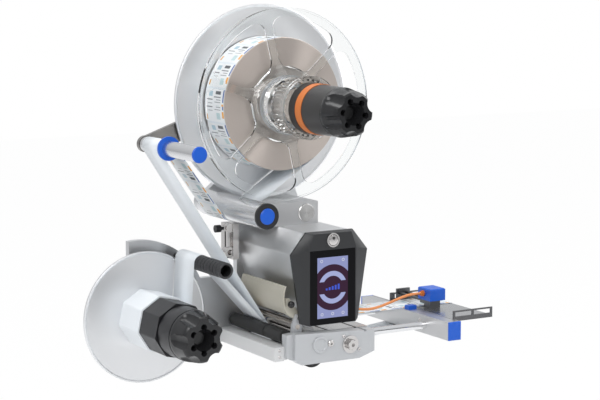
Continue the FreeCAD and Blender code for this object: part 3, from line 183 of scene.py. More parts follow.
# ------------------------------------------------------------------ materials
def painted(name, colour, rough=0.38, metal=0.0, grain=0.12):
    """Satin paint with a faint orange peel and slightly uneven gloss."""
    s = Shader(name)
    peel = s.noise(900, 2)
    cloud = s.noise(14, 3)
    shade = s.mix(s.blend_values(cloud, 0.0, 1.0), [c * 0.96 for c in colour[:3]] + [1], colour)
    s.set(Base_Color=shade, Metallic=metal, Roughness=s.blend_values(cloud, rough - 0.04, rough + 0.05))
    s.bump(peel, grain, 0.00006)
    return s.material


def brushed(name, colour, stretch, rough=0.3, contrast=0.06, scale=260, metal=1.0):
    """Metal with fine straight scratches; stretch is small along the scratches."""
    s = Shader(name)
    line = s.noise(scale, 4, stretch=stretch)
    cloud = s.noise(9, 2)
    dark = [c * (1 - contrast) for c in colour[:3]] + [1]
    s.set(Base_Color=s.mix(line, dark, colour), Metallic=metal)
    along_line = s.blend_values(line, rough - 0.07, rough + 0.07)
    s.set(Roughness=s.math("ADD", along_line, s.blend_values(cloud, -0.03, 0.03)))
    s.bump(line, 0.15, 0.00004)
    return s.material


def turned(name, colour, axis_point, rough=0.28, contrast=0.08, pitch=3500, metal=1.0, anisotropy=0.6):
    """Metal turned about an axis along Y: fine concentric rings on its faces."""
    s = Shader(name)
    r = s.radius(axis_point)
    _, y, _ = s.split()
    ring = s.noise(1.0, 3, vector=s.join(s.math("MULTIPLY", r, pitch), s.math("MULTIPLY", y, pitch), 0.0))
    cloud = s.noise(11, 2)
    dark = [c * (1 - contrast) for c in colour[:3]] + [1]
    s.set(Base_Color=s.mix(ring, dark, colour), Metallic=metal)
    along_ring = s.blend_values(ring, rough - 0.05, rough + 0.06)
    s.set(Roughness=s.math("ADD", along_ring, s.blend_values(cloud, -0.02, 0.02)))
    tangent = s.node("ShaderNodeTangent", direction_type="RADIAL", axis="Y")
    s.link(tangent.outputs[0], s.bsdf.inputs["Tangent"])
    s.set(Anisotropic=anisotropy)
    s.bump(ring, 0.1, 0.00003)
    return s.material


def moulded(name, colour, rough=0.45, grain=0.25, grain_scale=1400, coat=0.0):
    """Moulded plastic with a fine spark-eroded grain and rubbed high spots."""
    s = Shader(name)
    fine = s.noise(grain_scale, 2)
    cloud = s.noise(35, 4)
    light = [min(1.0, c * 1.12 + 0.004) for c in colour[:3]] + [1]
    s.set(Base_Color=s.mix(cloud, colour, light), Roughness=s.blend_values(cloud, rough - 0.06, rough + 0.08))
    s.set(Coat_Weight=coat)
    s.bump(fine, grain, 0.00005)
    return s.material


def clear_acrylic(name, tint):
    """Clear moulded acrylic, faintly rippled."""
    s = Shader(name)
    s.set(Base_Color=tint, Roughness=0.03, IOR=1.49, Transmission_Weight=1.0)
    s.bump(s.noise(30, 2), 0.05, 0.0002)
    return s.material


def assign(node, material):
    """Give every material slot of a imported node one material."""
    data = NODES[node].data
    data.materials.clear()
    data.materials.append(material)


PEARL = rgb(0.84, 0.845, 0.855)
SUPPLY_AXIS = centre("rear_flange")
REWIND_AXIS = centre("rewind_flange")
LABEL_PITCH = 43.0 * MM
WEB_LOW, WEB_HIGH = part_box("web_table")
WEB_FRONT_Y = WEB_LOW.y
WEB_WIDTH = WEB_HIGH.y - WEB_LOW.y
WEB_T = WEB_HIGH.z - WEB_LOW.z


# -------------------------------------------------------------- printed label
def band(s, value, low_edge, high_edge):
    """1 where a value lies between two limits."""
    above = s.math("GREATER_THAN", value, low_edge)
    below = s.math("LESS_THAN", value, high_edge)
    return s.math("MULTIPLY", above, below)


def patch(s, u, v, u0, u1, v0, v1):
    """Rectangular mask in label coordinates."""
    return s.math("MULTIPLY", band(s, u, u0, u1), band(s, v, v0, v1))


def label_print(s, along, across):
    """Colour of generic label stock: white labels with plain bars and blocks."""
    u = s.math("FRACT", s.math("DIVIDE", along, LABEL_PITCH))
    v = s.math("DIVIDE", s.math("SUBTRACT", across, WEB_FRONT_Y), WEB_WIDTH)
    liner = rgb(0.78, 0.83, 0.87)
    colour = s.mix(patch(s, u, v, 0.04, 0.96, 0.03, 0.97), liner, rgb(0.88, 0.90, 0.91))
    blocks = [
        ((0.04, 0.50, 0.03, 0.085), rgb(0.03, 0.10, 0.36)),
        ((0.56, 0.80, 0.03, 0.12), rgb(0.85, 0.40, 0.05)),
        ((0.10, 0.22, 0.20, 0.46), rgb(0.10, 0.11, 0.12)),
        ((0.30, 0.34, 0.18, 0.52), rgb(0.22, 0.23, 0.25)),
        ((0.40, 0.43, 0.18, 0.40), rgb(0.35, 0.36, 0.38)),
        ((0.49, 0.52, 0.18, 0.48), rgb(0.35, 0.36, 0.38)),
        ((0.62, 0.86, 0.22, 0.40), rgb(0.55, 0.70, 0.72)),
        ((0.12, 0.30, 0.60, 0.78), rgb(0.42, 0.58, 0.66)),
        ((0.40, 0.44, 0.58, 0.90), rgb(0.20, 0.21, 0.23)),
        ((0.54, 0.57, 0.58, 0.80), rgb(0.40, 0.41, 0.43)),
        ((0.70, 0.90, 0.86, 0.92), rgb(0.75, 0.36, 0.06)),
    ]
    for edges, ink in blocks:
        colour = s.mix(patch(s, u, v, *edges), colour, ink)
    return colour


def web_material(name, printed):
    """Web finish from the strip's own length and width, printed or bare."""
    s = Shader(name)
    grain = s.noise(600, 2)
    s.set(Roughness=0.34, Coat_Weight=0.15 if printed else 0.05)
    if printed:
        uv = s.node("ShaderNodeUVMap", uv_map="web")
        along, across, _ = s.split(uv.outputs["UV"])
        s.set(Base_Color=label_print(s, along, across))
    else:
        s.set(Base_Color=s.mix(grain, rgb(0.83, 0.87, 0.90), rgb(0.87, 0.90, 0.93)))
    s.bump(grain, 0.05, 0.00003)
    return s.material


def roll_material():
    """Wound label stock: printed rim, and a satin edge of many fine turns."""
    s = Shader("label_roll_stock")
    x, _, z = s.split(s.offset(SUPPLY_AXIS))
    _, y, _ = s.split()
    roll_low, roll_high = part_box("label_roll")
    rim_r = (roll_high.x - roll_low.x) / 2
    along = s.math("MULTIPLY", s.math("ARCTAN2", z, x), rim_r)
    r = s.radius(SUPPLY_AXIS)
    turns = s.noise(1.0, 4, vector=s.join(s.math("MULTIPLY", r, 2600), 0.0, 0.0))
    wide = s.noise(1.0, 2, vector=s.join(s.math("MULTIPLY", r, 160), 0.0, 0.0))
    edge = s.mix(turns, rgb(0.50, 0.435, 0.39), rgb(0.74, 0.665, 0.61))
    edge = s.mix(s.blend_values(wide, 0.0, 0.45), edge, rgb(0.66, 0.60, 0.56))
    normal = s.node("ShaderNodeNewGeometry").outputs["Normal"]
    _, ny, _ = s.split(normal)
    side = s.math("GREATER_THAN", s.math("ABSOLUTE", ny), 0.6)
    s.set(Base_Color=s.mix(side, label_print(s, along, y), edge))
    s.set(Metallic=s.math("MULTIPLY", side, 0.75), Roughness=s.blend_values(side, 0.40, 0.48))
    s.set(Anisotropic=0.95)
    tangent = s.node("ShaderNodeTangent", direction_type="RADIAL", axis="Y")
    s.link(tangent.outputs[0], s.bsdf.inputs["Tangent"])
    s.bump(turns, 0.12, 0.00004)
    return s.material


# ------------------------------------------------------------- display screen
# Sizes of the operating picture, in millimetres from its middle.
SCREEN_HALF_W = 27.6
SCREEN_HALF_H = 47.6
DARK_DISC_R = 36.0
ARC_INNER_R = 18.0
ARC_OUTER_R = 25.5
ARC_GAP = 9.5
BAR_COUNT = 5
BAR_PITCH = 5.4
BAR_W = 3.4
MARK_PLACES = ((-19.0, -41.5), (0.0, -41.5), (19.0, -41.5), (-20.0, 42.0), (19.0, 42.0))
MARK_INNER_R = 1.6
MARK_OUTER_R = 2.5


def distance(s, dx, dz):
    """Length of a vector in the plane of the screen or of a reel."""
    return s.math("SQRT", s.math("ADD", s.math("MULTIPLY", dx, dx), s.math("MULTIPLY", dz, dz)))


def screen_material():
    """Gloss black panel with a lit, generic operating picture."""
    s = Shader("operating_screen")
    low_glass, high_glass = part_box("screen_glass")
    middle_glass = (low_glass + high_glass) / 2
    x, _, z = s.split(s.offset(middle_glass + Vector((0, 0, -1.0 * MM))))
    x = s.math("DIVIDE", x, MM)
    z = s.math("DIVIDE", z, MM)
    r = distance(s, x, z)
    lavender, plum = rgb(0.27, 0.30, 0.54), rgb(0.035, 0.010, 0.030)
    colour = s.mix(s.math("LESS_THAN", r, DARK_DISC_R), lavender, plum)
    ring = band(s, r, ARC_INNER_R, ARC_OUTER_R)
    away = s.math("GREATER_THAN", s.math("ABSOLUTE", z), ARC_GAP)
    colour = s.mix(s.math("MULTIPLY", ring, away), colour, rgb(0.36, 0.40, 0.66))
    for i in range(BAR_COUNT):
        left = -12.5 + BAR_PITCH * i
        bar = patch(s, x, z, left, left + BAR_W, -4.0, -1.0 + 1.4 * i)
        colour = s.mix(bar, colour, rgb(0.05, 0.10, 0.62))
    for mark_x, mark_z in MARK_PLACES:
        near = distance(s, s.math("SUBTRACT", x, mark_x), s.math("SUBTRACT", z, mark_z))
        colour = s.mix(band(s, near, MARK_INNER_R, MARK_OUTER_R), colour, rgb(0.62, 0.64, 0.72))
    lit = patch(s, x, z, -SCREEN_HALF_W, SCREEN_HALF_W, -SCREEN_HALF_H, SCREEN_HALF_H)
    black = rgb(0.003, 0.003, 0.004)
    s.set(Base_Color=black, Roughness=0.12, Coat_Weight=0.0, Specular_IOR_Level=0.12)
    s.set(Emission_Color=s.mix(lit, rgb(0, 0, 0), colour), Emission_Strength=1.0)
    s.bump(s.noise(300, 1), 0.01, 0.00002)
    return s.material


# ----------------------------------------------------------- rubber and knurl
KNURL_RADIUS = 12.0 * MM


def knurled(name, colour, axis_point, pitch, depth, rough, metal):
    """Diamond knurl round an axis along Y; its crests are painted lighter and its grooves darker, a painted
    shade of the relief.
    """
    s = Shader(name)
    x, _, z = s.split(s.offset(axis_point))
    _, y, _ = s.split()
    along = s.math("MULTIPLY", s.math("ARCTAN2", z, x), KNURL_RADIUS)
    per_metre = 2 * math.pi / pitch
    first = s.math("SINE", s.math("MULTIPLY", s.math("ADD", along, y), per_metre))
    second = s.math("SINE", s.math("MULTIPLY", s.math("SUBTRACT", along, y), per_metre))
    height = s.math("MULTIPLY", first, second)
    # Painted shade: the colour follows the knurl's height, lighter on the crests and darker in the grooves.
    light = [min(1.0, c * 2.2 + 0.02) for c in colour[:3]] + [1]
    shade = s.mix(s.blend_values(height, 0.2, 0.8), colour, light)
    s.set(Base_Color=shade, Roughness=rough, Metallic=metal)
    s.bump(height, 0.8, depth)
    return s.material


materials = {
    "plate": brushed("plate_anodised", rgb(0.70, 0.705, 0.715), (1, 1, 0.04), 0.42, 0.05),
    "housing": brushed("housing_aluminium", rgb(0.84, 0.845, 0.85), (1, 0.03, 1), 0.42, 0.05),
    "hood": painted("hood_graphite", rgb(0.022, 0.023, 0.025), 0.38, grain=0.2),
    "grey": painted("block_enamel", rgb(0.56, 0.57, 0.585), 0.40, metal=0.35),
    "bar": painted("bar_enamel", rgb(0.72, 0.72, 0.72), 0.42),
    "block": brushed("block_aluminium", rgb(0.66, 0.66, 0.665), (0.04, 1, 1), 0.36),
    "table": brushed("table_steel", rgb(0.72, 0.71, 0.70), (1, 0.04, 1), 0.26),
    "rod": brushed("rod_chrome", rgb(0.78, 0.78, 0.79), (0.02, 1, 1), 0.12, 0.03),
    "roller": brushed("roller_aluminium", rgb(0.76, 0.76, 0.77), (1, 0.03, 1), 0.24, 0.04),
    "feed": brushed("feed_steel", rgb(0.50, 0.46, 0.42), (1, 0.03, 1), 0.22, 0.06),
    "beam": brushed("beam_aluminium", rgb(0.66, 0.66, 0.665), (1, 0.03, 1), 0.38),
    "peel": brushed("peel_steel", rgb(0.62, 0.625, 0.63), (0.03, 1, 1), 0.26),
    "blue": moulded("blue_moulding", rgb(0.001, 0.095, 0.56), 0.30, 0.12),
    "orange": moulded("orange_moulding", rgb(0.62, 0.17, 0.03), 0.38, 0.12),
    "cable": moulded("cable_sheath", rgb(0.72, 0.25, 0.07), 0.45, 0.1),
    "black": moulded("black_moulding", rgb(0.010, 0.010, 0.012), 0.36, 0.25),
    "sleeve": moulded("sleeve_moulding", rgb(0.022, 0.021, 0.021), 0.34, 0.3),
    "knob": moulded("knob_thermoset", rgb(0.010, 0.010, 0.011), 0.22, 0.05),
    # The dancer arm's dark grey-brown tone is painted shade: the arm lies in shadow, and that shadow is put
    # into its colour.
    "arm": brushed("arm_painted_shade_grey_brown", rgb(0.36, 0.345, 0.33), (0.03, 1, 1), 0.34, 0.10),
    "rubber": moulded("rubber", rgb(0.016, 0.016, 0.016), 0.55, 0.5, 700),
    "beige": moulded("beige_sheet", rgb(0.50, 0.475, 0.40), 0.42, 0.1),
    "clear": clear_acrylic("clear_acrylic", rgb(0.975, 0.99, 0.99)),
    "chrome": brushed("chrome", rgb(0.62, 0.60, 0.59), (1, 1, 1), 0.12, 0.02),
    "steel": brushed("ground_steel", rgb(0.52, 0.51, 0.50), (1, 0.05, 1), 0.28),
    "dark": brushed("dark_steel", rgb(0.16, 0.16, 0.165), (1, 0.05, 1), 0.34),
    "core": brushed("mandrel_aluminium", rgb(0.74, 0.74, 0.75), (1, 0.05, 1), 0.35),
}

FINISHES = {
    "frame_plate": "plate", "display_housing": "housing", "bezel": "hood",
    "button_ring": "chrome", "push_button": "chrome", "upper_block": "block", "bearing_block": "grey",
    "adjuster_bolt": "chrome", "left_bar": "bar", "table_plate": "table", "arm_rod_front": "rod",
    "arm_rod_rear": "rod", "cross_beam": "beam", "beam_caps": "blue", "edge_guide": "blue",
    "peel_plate": "peel", "fence_front": "dark", "fence_rear": "dark", "sensor_body": "blue",
    "sensor_mount": "dark", "cable_gland": "orange", "cable_grommet": "rubber", "infeed_guard": "beige",
    "guard_pin": "steel", "guard_knob": "knob", "clamp_fittings": "chrome", "thumb_screw": "black",
    "supply_spindle": "steel", "supply_mandrel": "core", "clear_flange": "clear", "clamp_sleeve": "sleeve",
    "orange_ring": "orange", "supply_knob": "knob", "dancer_arm": "arm", "dancer_cap": "blue",
    "guide_ring": "blue", "idler_end_ring": "black", "idler_cap": "blue",
    "feed_roller": "feed", "rubber_shaft": "steel", "drive_roller": "rubber",
    "rewind_spindle": "steel", "rewind_mandrel": "black", "rewind_knob": "knob",
    "dancer_tube": "roller", "idler_tube": "roller", "sensor_cable": "cable",
}
for node, finish in FINISHES.items():
    assign(node, materials[finish])
assign("rear_flange", turned("supply_flange_metal", PEARL, SUPPLY_AXIS, 0.42, 0.03, anisotropy=0.35))
assign("rewind_flange", turned("rewind_flange_metal", PEARL, REWIND_AXIS, 0.42, 0.03, anisotropy=0.35))
plug_at = centre("pivot_plug")
assign("pivot_plug", turned("plug_steel", rgb(0.62, 0.61, 0.60), plug_at, 0.22, 0.10, 6000, anisotropy=0.8))
for node, name, shade, pitch, rough, metal in (
    ("knurled_roller", "knurled_black_steel", rgb(0.03, 0.03, 0.032), 3.0 * MM, 0.4, 0.6),
    ("rubber_sleeves", "textured_rubber", rgb(0.018, 0.018, 0.018), 2.2 * MM, 0.5, 0.0),
):
    assign(node, knurled(name, shade, centre(node), pitch, 0.3 * MM, rough, metal))
assign("label_roll", roll_material())
assign("screen_glass", screen_material())
PRINTED = web_material("printed_label_stock", True)
LINER = web_material("bare_liner", False)
assign("wound_liner", LINER)


# ------------------------------------------------------------------ web strips
def circle_of(node, turn, gap=0.5 * MM):
    """Centreline circle (x, z, radius, turn) of a web round a packed roller."""
    low_node, high_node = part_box(node)
    radius = (high_node.z - low_node.z) / 2
    return ((low_node.x + high_node.x) / 2, (low_node.z + high_node.z) / 2, radius + gap, turn)


def tangent_points(first, second):
    """Where the straight run between two circles leaves one and meets the next."""
    dx = second[0] - first[0]
    dz = second[1] - first[1]
    slip = math.asin((second[3] * second[2] - first[3] * first[2]) / math.hypot(dx, dz))
    heading = math.atan2(dz, dx) - slip
    normal = Vector((-math.sin(heading), math.cos(heading)))
    ends = []
    for x, z, radius, turn in (first, second):
        ends.append(Vector((x, z)) - turn * radius * normal)
    return ends


def web_line(circles, step=math.radians(5)):
    """Centreline points over a row of circles, with arcs round the inner ones."""
    points = []
    for index in range(len(circles) - 1):
        leave, meet = tangent_points(circles[index], circles[index + 1])
        points.append(leave)
        points.append(meet)
        if index + 2 < len(circles):
            x, z, radius, turn = circles[index + 1]
            onward = tangent_points(circles[index + 1], circles[index + 2])[0]
            start = math.atan2(meet.y - z, meet.x - x)
            sweep = (math.atan2(onward.y - z, onward.x - x) - start) * turn % (2 * math.pi)
            count = max(1, int(sweep / step))
            if sweep < 6.0:
                for i in range(1, count):
                    angle = start + turn * sweep * i / count
                    points.append(Vector((x + radius * math.cos(angle), z + radius * math.sin(angle))))
    kept = [points[0]]
    for point in points[1:]:
        if (point - kept[-1]).length > 0.05 * MM:
            kept.append(point)
    return kept


def subdivided(points, longest=8 * MM):
    """The same line with no run longer than a limit."""
    line = [points[0]]
    for point in points[1:]:
        count = max(1, math.ceil((point - line[-1]).length / longest))
        start = line[-1].copy()
        for i in range(1, count + 1):
            line.append(start.lerp(point, i / count))
    return line


def web_strip(name, points, begin, printed, thickness=0.3 * MM):
    """Thin closed strip along a line; its left side carries the labels."""
    line = subdivided(points)
    shape = bmesh.new()
    uv_layer = shape.loops.layers.uv.new("web")
    rows = []
    length = begin
    for i, point in enumerate(line):
        before = line[max(i - 1, 0)]
        after = line[min(i + 1, len(line) - 1)]
        heading = (after - before).normalized()
        side = Vector((-heading.y, heading.x)) * thickness / 2
        if i:
            length += (point - line[i - 1]).length
        corners = []
        for offset in (side, -side):
            for y in (WEB_FRONT_Y, WEB_FRONT_Y + WEB_WIDTH):
                corners.append(shape.verts.new((point.x + offset.x, y, point.y + offset.y)))
        rows.append((corners, length))

    def face(verts, stations, slot):
        made = shape.faces.new(verts)
        made.material_index = slot
        made.smooth = slot == 0 or slot == 1
        for loop, station in zip(made.loops, stations):
            loop[uv_layer].uv = (station, loop.vert.co.y)

    for (a, s0), (b, s1) in zip(rows, rows[1:]):
        face((a[0], a[1], b[1], b[0]), (s0, s0, s1, s1), 0)
        face((a[3], a[2], b[2], b[3]), (s0, s0, s1, s1), 1)
        face((a[2], a[0], b[0], b[2]), (s0, s0, s1, s1), 2)
        face((a[1], a[3], b[3], b[1]), (s0, s0, s1, s1), 2)
    face(rows[0][0][:2] + rows[0][0][:1:-1], (begin,) * 4, 2)
    last = rows[-1][0]
    face((last[1], last[0], last[2], last[3]), (length,) * 4, 2)
    bmesh.ops.recalc_face_normals(shape, faces=shape.faces)
    mesh = bpy.data.meshes.new(name)
    shape.to_mesh(mesh)
    shape.free()
    mesh.materials.append(PRINTED if printed else LINER)
    mesh.materials.append(LINER)
    mesh.materials.append(LINER)
    strip = bpy.data.objects.new(name, mesh)
    bpy.context.scene.collection.objects.link(strip)
    return strip, length


def cut_line(points, share):
    """Two parts of a line, cut at a share of its length."""
    total = sum((b - a).length for a, b in zip(points, points[1:]))
    target = total * share
    walked = 0.0
    for i, (a, b) in enumerate(zip(points, points[1:])):
        run = (b - a).length
        if walked + run >= target:
            middle_point = a.lerp(b, (target - walked) / run)
            return points[:i + 1] + [middle_point], [middle_point] + points[i + 1:]
        walked += run
    return points, [points[-1]]


def build_web():
    """All runs of the label web and of the empty liner."""
    roll = circle_of("label_roll", -1)
    idler = circle_of("idler_tube", -1)
    dancer = circle_of("dancer_tube", 1)
    feed = circle_of("feed_roller", 1)
    drive = circle_of("drive_roller", -1)
    rubber = circle_of("rubber_sleeves", 1)
    knurl = circle_of("knurled_roller", 1)
    coil = circle_of("wound_liner", -1, 0.0)
    level = WEB_LOW.z + WEB_T / 2
    plate_low, plate_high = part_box("peel_plate")
    beam_low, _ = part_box("cross_beam")
    table_start = (feed[0] + 3 * MM, level, 0.0, 1)
    table_end = (plate_high.x - 3 * MM, level, 0.0, 1)
    nose = (plate_high.x - 1 * MM, level - 1.7 * MM, 1.5 * MM, -1)
    beam_edge = (plate_low.x, beam_low.z, 0.8 * MM, -1)
    whole = web_line([roll, idler, dancer, feed, table_start])
    idler_end = tangent_points(idler, dancer)[0]
    dancer_in = tangent_points(idler, dancer)[1]
    dancer_out, feed_in = tangent_points(dancer, feed)
    marks = []
    for target in (idler_end, dancer_out, feed_in):
        marks.append(min(range(len(whole)), key=lambda i: (whole[i] - target).length))
    first, second, third = marks
    wrap_in = min(range(len(whole)), key=lambda i: (whole[i] - dancer_in).length)
    top = (wrap_in + second) // 2
    from_roll, length = web_strip("web_from_roll", whole[:first + 1], 0.0, True)
    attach(from_roll, "frame")
    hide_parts("web_supply")
    rising, length = web_strip("web_rising", whole[first:top + 1], length, True)
    falling, length = web_strip("web_falling", whole[top:third + 1], length, True)
    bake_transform(rising)
    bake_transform(falling)
    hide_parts("web_dancer")
    table = whole[third:] + [Vector((table_end[0], level))]
    on_table, length = web_strip("web_on_table", table, length, True)
    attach(on_table, "frame")
    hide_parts("web_table")
    back = web_line([table_end, nose, beam_edge, drive, rubber, knurl])
    under, length = web_strip("liner_under_arm", back, length, False)
    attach(under, "frame")
    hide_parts("liner_return")
    home = web_line([rubber, knurl, coil])
    start_index = min(range(len(home)), key=lambda i: (home[i] - tangent_points(rubber, knurl)[1]).length)
    wound, length = web_strip("liner_to_rewinder", home[start_index:], length, False)
    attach(wound, "frame")
    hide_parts("liner_rewind")


build_web()


# ------------------------------------------------------------ small fasteners
def turned_piece(name, profile, place, axis, material, body, sides=32, recess=0.0):
    """Lathe a (radius, height) profile about an axis, with a hexagon socket if asked."""
    shape = bmesh.new()
    rings = []
    for radius, height in profile:
        ring = []
        for i in range(sides):
            angle = 2 * math.pi * i / sides
            ring.append(shape.verts.new((radius * math.cos(angle), radius * math.sin(angle), height)))
        rings.append(ring)
    for low_ring, high_ring in zip(rings, rings[1:]):
        for i in range(sides):
            j = (i + 1) % sides
            shape.faces.new((low_ring[i], low_ring[j], high_ring[j], high_ring[i]))
    shape.faces.new(list(reversed(rings[0])))
    top = shape.faces.new(rings[-1])
    if recess:
        inner = []
        floor = []
        height = profile[-1][1]
        for i in range(sides):
            angle = 2 * math.pi * i / sides
            flat = recess / max(math.cos((angle % (math.pi / 3)) - math.pi / 6), 0.5) * math.cos(math.pi / 6)
            inner.append(shape.verts.new((flat * math.cos(angle), flat * math.sin(angle), height)))
            floor.append(shape.verts.new((flat * math.cos(angle), flat * math.sin(angle), height - recess)))
        shape.faces.remove(top)
        for i in range(sides):
            j = (i + 1) % sides
            shape.faces.new((rings[-1][i], rings[-1][j], inner[j], inner[i]))
            shape.faces.new((inner[i], inner[j], floor[j], floor[i]))
        shape.faces.new(floor)
    bmesh.ops.recalc_face_normals(shape, faces=shape.faces)
    for item in shape.faces:
        item.smooth = len(item.verts) == 4
    mesh = bpy.data.meshes.new(name)
    shape.to_mesh(mesh)
    shape.free()
    mesh.materials.append(material)
    mesh.set_sharp_from_angle(angle=math.radians(35))
    piece = bpy.data.objects.new(name, mesh)
    bpy.context.scene.collection.objects.link(piece)
    piece.rotation_euler = Vector(axis).to_track_quat("Z", "Y").to_euler()
    piece.location = place
    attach(piece, body)
    return piece


def cap_screw(name, place, axis, radius, body="frame"):
    """Low socket-head screw standing proud of a face."""
    shoulder = radius * 0.45
    top = radius * 0.6
    profile = [(radius, 0.0), (radius, shoulder), (radius * 0.86, top), (radius * 0.62, top)]
    return turned_piece(name, profile, place, axis, materials["chrome"], body, recess=radius * 0.45)


# Name, distance right of and above the shaft cap, and radius, in millimetres.
BLOCK_SCREWS = (
    ("block_screw_upper", -12.0, 13.5, 2.6),
    ("block_screw_lower", 16.5, -9.5, 2.6),
    ("shaft_clamp_screw", -36.0, 5.0, 5.2),
)
BLOCK_FACE_DEPTH = 2.5 * MM
BAR_SCREW_SHARES = (0.3, 0.75)
BAR_SCREW_INSET = 9 * MM


def place_fasteners():
    """Screws of the bearing block, of the left bar's end and of the cross beam."""
    block_low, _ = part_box("bearing_block")
    cap = centre("adjuster_bolt")
    face_y = block_low.y + BLOCK_FACE_DEPTH
    front = (0, -1, 0)
    for name, right, up, radius in BLOCK_SCREWS:
        cap_screw(name, (cap.x + right * MM, face_y, cap.z + up * MM), front, radius * MM)
    bar_low, bar_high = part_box("left_bar")
    for i, share in enumerate(BAR_SCREW_SHARES):
        place = (bar_low.x + BAR_SCREW_INSET, bar_low.y, bar_low.z + share * (bar_high.z - bar_low.z))
        cap_screw("bar_screw_%d" % (i + 1), place, front, 2.2 * MM)
    beam_low, beam_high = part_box("cross_beam")
    for i, node in enumerate(("arm_rod_front", "arm_rod_rear")):
        place = (beam_low.x, centre(node).y + 14 * MM, beam_high.z - 9 * MM)
        cap_screw("rod_clamp_screw_%d" % (i + 1), place, (-1, 0, 0), 2.6 * MM)


place_fasteners()


# ------------------------------------------------------------------- the cable
CABLE_ROUTE = (
    (224.5, -113.5, -46.5), (205.0, -117.0, -45.0), (182.0, -121.0, -47.5), (158.0, -125.5, -52.5),
    (134.0, -130.0, -57.0), (110.0, -136.0, -58.0), (86.0, -142.0, -54.5), (66.0, -146.5, -49.0),
)
CABLE_R = 2.2 * MM


def sensor_cable():
    """The sensor's cable on one smooth curve through the air."""
    data = bpy.data.curves.new("sensor_lead", "CURVE")
    data.dimensions = "3D"
    data.bevel_depth = CABLE_R
    data.bevel_resolution = 5
    data.resolution_u = 10
    spline = data.splines.new("NURBS")
    spline.points.add(len(CABLE_ROUTE) - 1)
    for item, point in zip(spline.points, CABLE_ROUTE):
        item.co = [value * MM for value in point] + [1.0]
    spline.order_u = 3
    spline.use_endpoint_u = True
    data.use_fill_caps = True
    data.materials.append(materials["cable"])
    lead = bpy.data.objects.new("sensor_lead", data)
    bpy.context.scene.collection.objects.link(lead)
    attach(lead, "frame")
    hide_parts("sensor_cable")


sensor_cable()


# ------------------------------------------------------------------ the studio
FLOOR_REACH = 6.0
FLOOR_DROP = 0.25
FLOOR_GLOW_SHARE = 0.97


def area_light(name, place, target, size, power):
    """Rectangular soft light that faces a point."""
    data = bpy.data.lights.new(name, "AREA")
    data.shape = "RECTANGLE"
    data.size, data.size_y = size
    data.energy = power
    lamp = bpy.data.objects.new(name, data)
    bpy.context.scene.collection.objects.link(lamp)
    lamp.location = place
    lamp.rotation_euler = (Vector(target) - Vector(place)).to_track_quat("-Z", "Y").to_euler()


low, high = CAD_BOX
middle = (Vector(low) + Vector(high)) / 2
area_light("key_soft_box", (-1.5, -1.7, 1.9), middle, (1.4, 1.4), 26)
area_light("fill_soft_box", (2.3, -0.6, 1.1), middle, (1.4, 1.4), 20)
area_light("top_soft_box", (0.1, 0.4, 2.2), middle, (1.8, 1.8), 22)


def flag_mask(tree, parts):
    """Black flag to the right of the camera, as a smooth mask over the dome."""
    masks = []
    for axis, middle_at, half, soft in ((0, 0.50, 0.10, 0.06), (2, -0.10, 0.30, 0.12)):
        away = tree.nodes.new("ShaderNodeMath")
        away.operation = "SUBTRACT"
        tree.links.new(parts.outputs[axis], away.inputs[0])
        away.inputs[1].default_value = middle_at
        size = tree.nodes.new("ShaderNodeMath")
        size.operation = "ABSOLUTE"
        tree.links.new(away.outputs[0], size.inputs[0])
        edge = tree.nodes.new("ShaderNodeMapRange")
        edge.interpolation_type = "SMOOTHSTEP"
        edge.inputs["From Min"].default_value = half - soft
        edge.inputs["From Max"].default_value = half + soft
        edge.inputs["To Min"].default_value = 1.0
        edge.inputs["To Max"].default_value = 0.0
        tree.links.new(size.outputs[0], edge.inputs["Value"])
        masks.append(edge.outputs["Result"])
    front = tree.nodes.new("ShaderNodeMath")
    front.operation = "LESS_THAN"
    tree.links.new(parts.outputs[1], front.inputs[0])
    front.inputs[1].default_value = 0.0
    both = tree.nodes.new("ShaderNodeMath")
    both.operation = "MULTIPLY"
    tree.links.new(masks[0], both.inputs[0])
    tree.links.new(masks[1], both.inputs[1])
    last = tree.nodes.new("ShaderNodeMath")
    last.operation = "MULTIPLY"
    tree.links.new(both.outputs[0], last.inputs[0])
    tree.links.new(front.outputs[0], last.inputs[1])
    return last.outputs[0]


